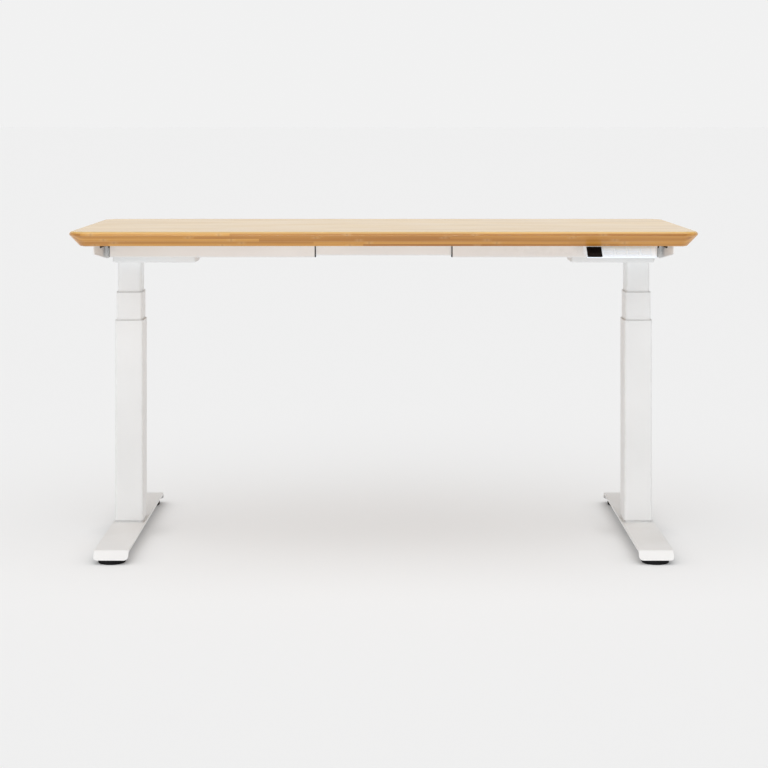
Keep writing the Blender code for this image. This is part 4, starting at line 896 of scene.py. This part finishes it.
box_low, box_high = number_box("control_box")
section = slab_section(box_low[2], box_high[2], BOX_EDGE)
body = box_rings(box_high[0] - box_low[0], box_high[1] - box_low[1], BOX_CORNER, section)
box_case = skin("control_box_case", body)
mid_z = (box_low[2] + box_high[2]) / 2
vents = [box_rings(*VENT_SIZE, [(0.0, face * (box_high[1] + bite)) for bite in (-VENT_BITE, VENT_BITE)],
                   "Y", (centre + VENT_PITCH * (number - (VENTS - 1) / 2), 0, mid_z), 4)
         for face, centre in ((-1, 0.0), (1, -0.055)) for number in range(VENTS)]
carve(box_case, *vents)
fit(box_case, black_plastic, "black_plastic", "top_frame", "control_box")

low, high = number_box("control_box_cover")
cover = box_rings(high[0] - low[0], high[1] - low[1], BOX_CORNER, slab_section(low[2], high[2], 0.0008))
cover_plate = skin("control_box_cover_plate", cover)
screw_places = [(x, y) for x in (low[0] + BOX_SCREW_INSET, high[0] - BOX_SCREW_INSET)
                for y in (low[1] + BOX_SCREW_INSET, high[1] - BOX_SCREW_INSET)]
dimple = [(DIMPLE_RADIUS, low[2] - 0.001), (DIMPLE_RADIUS, low[2] + 0.0016)]
dimples = [turned_rings(dimple, place=(x, y, 0), steps=28) for x, y in screw_places]
carve(cover_plate, *dimples)
fit(cover_plate, black_plastic, "black_plastic", "top_frame", "control_box_cover")
heads = [socket_screw((x, y, low[2] + 0.0018), *BOX_SCREW) for x, y in screw_places]
fit(skin("control_box_screws", *heads), black_screw, "screw_steel", "top_frame")

low, high = number_box("power_inlet")
middle = (low + high) / 2
section = [(0.0, low[1]), (0.0, low[1] + 0.0015), (0.0, high[1] - 0.0012), (0.0003, high[1] - 0.0004),
           (0.0010, high[1]), (INLET_WALL - 0.0008, high[1]), (INLET_WALL - 0.0001, high[1] - 0.0005),
           (INLET_WALL - 0.00005, low[1] + INLET_FLOOR + 0.0005),
           (INLET_WALL - 0.00001, low[1] + INLET_FLOOR)]
shroud = box_rings(high[0] - low[0], high[2] - low[2], 0.0031, section, "Y", (middle[0], 0, middle[2]), 6)
fit(skin("power_inlet_shroud", shroud), black_plastic, "black_plastic", "top_frame", "power_inlet")
pin = [(0.0, low[1] + INLET_FLOOR - 0.0005), (0.0, high[1] - 0.0022), (0.0004, high[1] - 0.0016)]
pins = [box_rings(*PIN_SIZE, pin, "Y", (middle[0] + x, 0, middle[2] + z), 3) for x, z in PIN_PLACES]
fit(skin("power_inlet_pins", *pins), zinc_steel, "zinc_steel", "top_frame")


# Leads. Two motor leads and the handset's lead run below the top in round black jackets; each is held by
# stand-off clips and enters the control box through a ribbed strain relief.
JACKET_SIDES = 16
CLIP_STEM = 0.0036
CLIP_RING = 0.0044
CLIP_HALF = 0.004
CLIP_SHARES = (0.12, 0.5, 0.88)
LEAD_START = 0.478
LEAD_SWING = 0.021
LEAD_BEND = 0.0525
BOX_ENTRY_Y = 0.0275
HANDSET_LANE = -0.070
RAIL_GROMMET = 0.0058
RAIL_GROMMET_Y = (-0.1190, -0.0910)

jacket, tree, shader = material("lead_jacket", (0.05, 0.05, 0.05), 0.52, Specular_IOR_Level=0.4)
tone = clouded(tree, 35.0, (0.040, 0.040, 0.041), (0.060, 0.060, 0.059))
tone = stained(tree, use(tree, settled, Amount=0.2, Patches=60.0)["Mask"], tone, (0.20, 0.19, 0.18))
surface(tree, shader, tone, (110.0, 0.45, 0.6), (0.2, 0.0001, 2200.0))


def smooth_route(route, spacing):
    """Points of a smooth curve through a route: each stretch is the cubic whose end slopes are half the
    step from the point before to the point after."""
    route = np.asarray(route, float)
    route = np.concatenate([[2 * route[0] - route[1]], route, [2 * route[-1] - route[-2]]])
    path = []
    for a, b, c, d in zip(route, route[1:], route[2:], route[3:]):
        t = np.linspace(0, 1, max(3, round(np.linalg.norm(c - b) / spacing)), endpoint=False)[:, None]
        path.append(0.5 * (2 * b + (c - a) * t + (2 * a - 5 * b + 4 * c - d) * t ** 2
                           + (3 * b - a - 3 * c + d) * t ** 3))
    return np.concatenate(path + [route[-2:-1]])


def headings(path):
    """Unit direction of a path at each of its points."""
    heading = np.gradient(path, axis=0)
    return heading / np.linalg.norm(heading, axis=1)[:, None]


def round_lead(path, radius):
    """Rings of a round tube along a level path: a circle in the plane of straight up and sideways."""
    sideways = np.cross(headings(path), [0.0, 0.0, 1.0])
    turn = np.arange(JACKET_SIDES) * 2 * np.pi / JACKET_SIDES
    return (path[:, None] + radius * (np.cos(turn)[None, :, None] * sideways[:, None]
                                      + np.sin(turn)[None, :, None] * np.array([0.0, 0.0, 1.0])))


def clip_shells(place, heading):
    """Stand-off clip: a ring round the lead, a stem up to the underside, and a screwed pad."""
    drop = underside - GAP - place[2]
    ring = softened([(LEAD_RADIUS, -CLIP_HALF), (CLIP_RING, -CLIP_HALF), (CLIP_RING, CLIP_HALF),
                     (LEAD_RADIUS, CLIP_HALF)], 0.0005, 2)
    ring = turned_rings(ring, "X", steps=28)
    stem = box_rings(0.006, CLIP_STEM, 0.001, [(0.0, 0.0036), (0.0, drop - 0.0010)], steps=3)
    pad = box_rings(0.010, 0.020, 0.003, slab_section(drop - 0.0016, drop, 0.0005, 2), steps=4)
    turned = np.array([[heading[0], -heading[1], 0], [heading[1], heading[0], 0], [0, 0, 1]])
    return [(ring @ turned.T + place, "tube"), stem @ turned.T + place, pad @ turned.T + place]


def relief_rings(x, y, z, side):
    """Ribbed strain relief: a taper whose radius swells with a cosine along its length."""
    share = np.linspace(0.0, 1.0, 41)
    radii = 0.0052 - 0.0022 * share + 0.00035 * np.cos(2 * np.pi * 6 * share)
    profile = [(LEAD_RADIUS, x - side * 0.001), *zip(radii, x + side * (0.020 * share)),
               (LEAD_RADIUS, x + side * 0.0202)]
    return turned_rings(profile, "X", (0, y, z), 28)


box_end = box_high[0] + GAP
routes = {}
for side_name, side in SIDES:
    routes["motor_lead_" + side_name] = [
        (side * (LEAD_START + 0.008), 0, lead_z), (side * LEAD_START, 0, lead_z),
        (side * (LEAD_START - LEAD_BEND), LEAD_SWING / 2, lead_z),
        (side * (LEAD_START + box_end) / 2, LEAD_SWING, lead_z),
        (side * (box_end + LEAD_BEND), BOX_ENTRY_Y, lead_z), (side * box_end, BOX_ENTRY_Y, lead_z)]
routes["handset_lead"] = [
    (lead_x, -0.2017, lead_z), (lead_x, -0.15335, lead_z), (lead_x, -0.105, lead_z),
    (lead_x - 0.0045, -0.0805, lead_z), (lead_x - 0.0225, HANDSET_LANE, lead_z),
    (lead_x - 0.075, HANDSET_LANE, lead_z), ((lead_x + box_end) / 2, HANDSET_LANE, lead_z),
    (box_end + 0.090, -0.04875, lead_z), (box_end + 0.030, -BOX_ENTRY_Y, lead_z),
    (box_end + 0.015, -BOX_ENTRY_Y, lead_z), (box_end, -BOX_ENTRY_Y, lead_z)]
for name, route in routes.items():
    path = smooth_route(route, 0.006)
    fit(skin(name + "_jacket", round_lead(path, LEAD_RADIUS)), jacket, "lead_grey", "top_frame", name)
    heading = headings(path)
    straight = [index for index in range(len(path)) if 0.17 < abs(path[index][0]) < 0.47
                and abs(heading[index][0]) > 0.9]
    held = [straight[int(share * (len(straight) - 1))] for share in CLIP_SHARES]
    clips = [shell for index in held for shell in clip_shells(path[index], heading[index])]
    fit(skin(name + "_clips", *clips), black_plastic, "black_plastic", "top_frame")
    side = 1 if route[-1][0] > 0 else -1
    fit(skin(name + "_relief", relief_rings(route[-1][0], route[-1][1], lead_z, side)),
        black_plastic, "black_plastic", "top_frame")
grommets = [(grommet_rings(lead_x, y, lead_z, RAIL_GROMMET, "Y"), "tube") for y in RAIL_GROMMET_Y]
fit(skin("rail_grommets", *grommets),
    black_plastic, "black_plastic", "top_frame")


# Handset. A wedge-shaped white plastic shell is screwed up under the front edge, its sloping face turned to
# whoever stands at the desk, with a black display window and seven sprung keys in their openings.
FACE_REACH = 0.033
FACE_DROP = 0.0255
BACK_DROP = 0.020
NOSE = 0.0022
SHELL_EDGE = 0.0022
SHELL_RADII = (0.0030, 0.0020, 0.0013, 0.0020, 0.0034)
DISPLAY_PROUD = 0.0003
DISPLAY_GLASS = 0.0014
DISPLAY_POCKET = 0.0017
KEY_PROUD = 0.0006
KEY_CLEARANCE = 0.0004
KEY_THICKNESS = 0.0030
POCKET = 0.0046
KEY_CORNER = 0.002
KEY_RIM = 0.0006

low, high = number_box("handset_case")
face_tilt = math.atan2(FACE_DROP, FACE_REACH)
face_up = np.array([0.0, math.cos(face_tilt), math.sin(face_tilt)])
face_out = np.array([0.0, -math.sin(face_tilt), math.cos(face_tilt)])
nose_y, nose_z = low[1], high[2] - FACE_DROP
face_middle = np.array([0.0, nose_y + FACE_REACH / 2, nose_z + FACE_DROP / 2])
corners = [(high[1], high[2]), (nose_y + FACE_REACH, high[2]), (nose_y, nose_z),
           (nose_y + NOSE, nose_z - NOSE), (high[1], high[2] - BACK_DROP)]
turn = np.linspace(0.0, np.pi / 2, 7)
draw_in = np.concatenate([SHELL_EDGE * (1 - np.sin(turn)), [0.0]])
from_end = np.concatenate([SHELL_EDGE * (1 - np.cos(turn)), [SHELL_EDGE + 0.001]])
outline = softened(corners, SHELL_RADII, 6)
along_outline = np.roll(outline, -1, 0) - np.roll(outline, 1, 0)
outward = np.stack([along_outline[:, 1], -along_outline[:, 0]], -1)
outward = outward / np.linalg.norm(outward, axis=1)[:, None]
if ((outline - outline.mean(0)) * outward).sum() < 0:
    outward = -outward
plane = outline[None] - draw_in[:, None, None] * outward[None]
plane = np.concatenate([plane, plane[::-1]])
along = np.concatenate([low[0] + from_end, high[0] - from_end[::-1]])


def on_face(rings):
    """Points given along the face, up its slope and out of it, as points in the desk's own frame."""
    return (np.array([1.0, 0.0, 0.0]) * rings[..., :1] + face_up * rings[..., 1:2]
            + face_out * rings[..., 2:3] + face_middle)


def face_box(node):
    """Middle along the face, middle up the slope, length and width of a flat CAD node on the face."""
    points = np.array([vertex.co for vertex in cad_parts[node].data.vertices]) - face_middle
    length, slope_up = points[:, 0], points @ face_up
    return ((length.max() + length.min()) / 2, (slope_up.max() + slope_up.min()) / 2,
            length.max() - length.min(), slope_up.max() - slope_up.min())


# The white moulding has a faint blue emission: a painted glow that makes the shell look brightly lit.
white_plastic, tree, shader = material("white_moulding", (0.86, 0.90, 0.94), 0.34, Specular_IOR_Level=0.4,
                                       Emission_Color=(0.55, 0.80, 1.0, 1.0), Emission_Strength=0.14)
tone = clouded(tree, 22.0, (0.85, 0.89, 0.94), (0.88, 0.915, 0.95))
tone = stained(tree, use(tree, settled, Amount=0.08, Patches=60.0)["Mask"], tone, (0.60, 0.58, 0.54))
surface(tree, shader, tone, (60.0, 0.28, 0.40), (0.12, 0.0001, 1900.0))

# The keys have the same faint blue emission: a painted glow that makes them look brightly lit.
key_grey, tree, shader = material("key_moulding", (0.80, 0.84, 0.88), 0.42, Specular_IOR_Level=0.4,
                                  Emission_Color=(0.55, 0.80, 1.0, 1.0), Emission_Strength=0.13)
tone = clouded(tree, 60.0, (0.79, 0.83, 0.87), (0.83, 0.87, 0.91))
surface(tree, shader, tone, (120.0, 0.36, 0.5), (0.2, 0.0001, 2600.0))

dark_glass, tree, shader = material("display_window", (0.004, 0.004, 0.005), 0.12, Specular_IOR_Level=0.12)
tone = clouded(tree, 80.0, (0.003, 0.003, 0.004), (0.006, 0.006, 0.007))
surface(tree, shader, tone, (140.0, 0.06, 0.16))

KEYS = ("key_up", "key_down", "key_memory_1", "key_memory_2", "key_memory_3", "key_memory_4", "key_store")
case = skin("handset_shell", carried(plane, along, "X"))
pockets = []
for node in KEYS + ("handset_display",):
    x, slope_up, length, width = face_box(node)
    room = KEY_CLEARANCE * 2
    floor = -DISPLAY_POCKET - GAP if node == "handset_display" else -POCKET
    pockets.append(on_face(box_rings(length + room, width + room, KEY_CORNER + KEY_CLEARANCE,
                                     [(0.0, floor), (0.0, 0.003)], place=(x, slope_up, 0), steps=5)))
carve(case, *pockets)
fit(case, white_plastic, "white_plastic", "top_frame", "handset_case")

x, slope_up, length, width = face_box("handset_display")
section = slab_section(DISPLAY_PROUD - DISPLAY_GLASS, DISPLAY_PROUD, 0.0004)
glass = box_rings(length, width, KEY_CORNER, section, place=(x, slope_up, 0), steps=5)
fit(skin("handset_window", on_face(glass)), dark_glass, "dark_glass", "top_frame", "handset_display")

for node in KEYS:
    x, slope_up, length, width = face_box(node)
    turn = np.linspace(0.0, np.pi / 2, 5)
    rim = np.stack([KEY_RIM * (1 - np.cos(turn)), KEY_PROUD - KEY_RIM * (1 - np.sin(turn))], -1)
    dish = np.array([(0.0012, KEY_PROUD - 0.00002), (0.0016, KEY_PROUD - 0.00008),
                     (0.0019, KEY_PROUD - 0.00012)])
    skirt = [(0.0004, KEY_PROUD - KEY_THICKNESS), (0.0, KEY_PROUD - KEY_THICKNESS + 0.0004),
             (0.0, KEY_PROUD - 0.0011)]
    section = np.concatenate([skirt, rim, dish])
    cap = box_rings(length, width, KEY_CORNER, section, place=(x, slope_up, 0), steps=5)
    fit(skin(node + "_cap", on_face(cap)), key_grey, "key_grey", node + "_body", node)


# Floor and light. A pale matt floor glows a little and meets a sky of the same value that dims overhead;
# ambient occlusion dims its glow close to the feet, a painted contact shadow. One lamp stands high up; a
# nearly level lamp and a long strip light the frame. The floor casts no shadow, since the level lamp stands a
# little below it.
HORIZON = 0.882
OVERHEAD = 0.24
FLOOR_TONE = 0.45
FLOOR_GLOW = 0.425
FLOOR_REACH = 900.0
FLOOR_DROP = 0.0002
PAINTED_SHADOW_REACH = 0.09
SKY_DIMS = (0.12, 0.55)
STRIP_PLACE = (0.0, -1.5, 0.62)
STRIP_SIZE = (1.7, 0.08)
STRIP_TILT = 92.5
STRIP_SPREAD = 36
STRIP_ENERGY = 0.32
STRIP_COLOUR = (0.86, 0.94, 1.0)

bpy.context.scene.view_settings.view_transform = "Standard"
camera.data.clip_end = 2.0 * FLOOR_REACH
floor_mesh = bpy.data.meshes.new("floor")
floor_corners = np.array([(-1, -1), (1, -1), (1, 1), (-1, 1)]) * FLOOR_REACH
floor_mesh.from_pydata([(x, y, -FLOOR_DROP) for x, y in floor_corners], [], [(0, 1, 2, 3)])
floor = bpy.data.objects.new("floor", floor_mesh)
bpy.context.scene.collection.objects.link(floor)
floor_finish, tree, shader = material("floor", (FLOOR_TONE,) * 3, 0.9, Specular_IOR_Level=0.0,
                                      Emission_Color=(1.0, 1.0, 1.0, 1.0), Emission_Strength=FLOOR_GLOW)
# Ambient occlusion darkens the floor's glow near the feet: a painted contact shadow.
painted_contact_shadow = put(tree, "AmbientOcclusion", Distance=PAINTED_SHADOW_REACH, samples=8).outputs["Color"]
tree.links.new(painted_contact_shadow, shader.inputs["Emission Color"])
floor_mesh.materials.append(floor_finish)
floor.visible_shadow = False

world = bpy.data.worlds.new("sky")
bpy.context.scene.world = world
world.use_nodes = True
tree = world.node_tree
elevation = put(tree, "SeparateXYZ", put(tree, "TexCoord").outputs["Generated"]).outputs[2]
dimming = put(tree, "MapRange", elevation, *SKY_DIMS, HORIZON, OVERHEAD).outputs[0]
sky = tree.nodes["Background"]
tree.links.new(put(tree, "CombineXYZ", dimming, dimming, dimming).outputs[0], sky.inputs["Color"])
sky.inputs["Strength"].default_value = 1.0


def broad_lamp(name, energy, spread, elevation, azimuth):
    """Sun lamp of a wide angle: elevation above the floor, azimuth from straight in front towards +X."""
    lamp = bpy.data.objects.new(name, bpy.data.lights.new(name, "SUN"))
    bpy.context.scene.collection.objects.link(lamp)
    lamp.data.energy = energy
    lamp.data.angle = math.radians(spread)
    lamp.rotation_euler = (math.radians(90 - elevation), 0.0, math.radians(azimuth))


broad_lamp("level_lamp", 0.15, 14, -3, -12)
broad_lamp("overhead_lamp", 2.2, 90, 71, -10)

strip = bpy.data.objects.new("frame_fill", bpy.data.lights.new("frame_fill", "AREA"))
bpy.context.scene.collection.objects.link(strip)
strip.data.shape = "RECTANGLE"
strip.data.size, strip.data.size_y = STRIP_SIZE
strip.data.spread = math.radians(STRIP_SPREAD)
strip.data.energy = STRIP_ENERGY
strip.data.color = STRIP_COLOUR
strip.location = STRIP_PLACE
strip.rotation_euler = (math.radians(STRIP_TILT), 0.0, 0.0)
strip.visible_camera = False
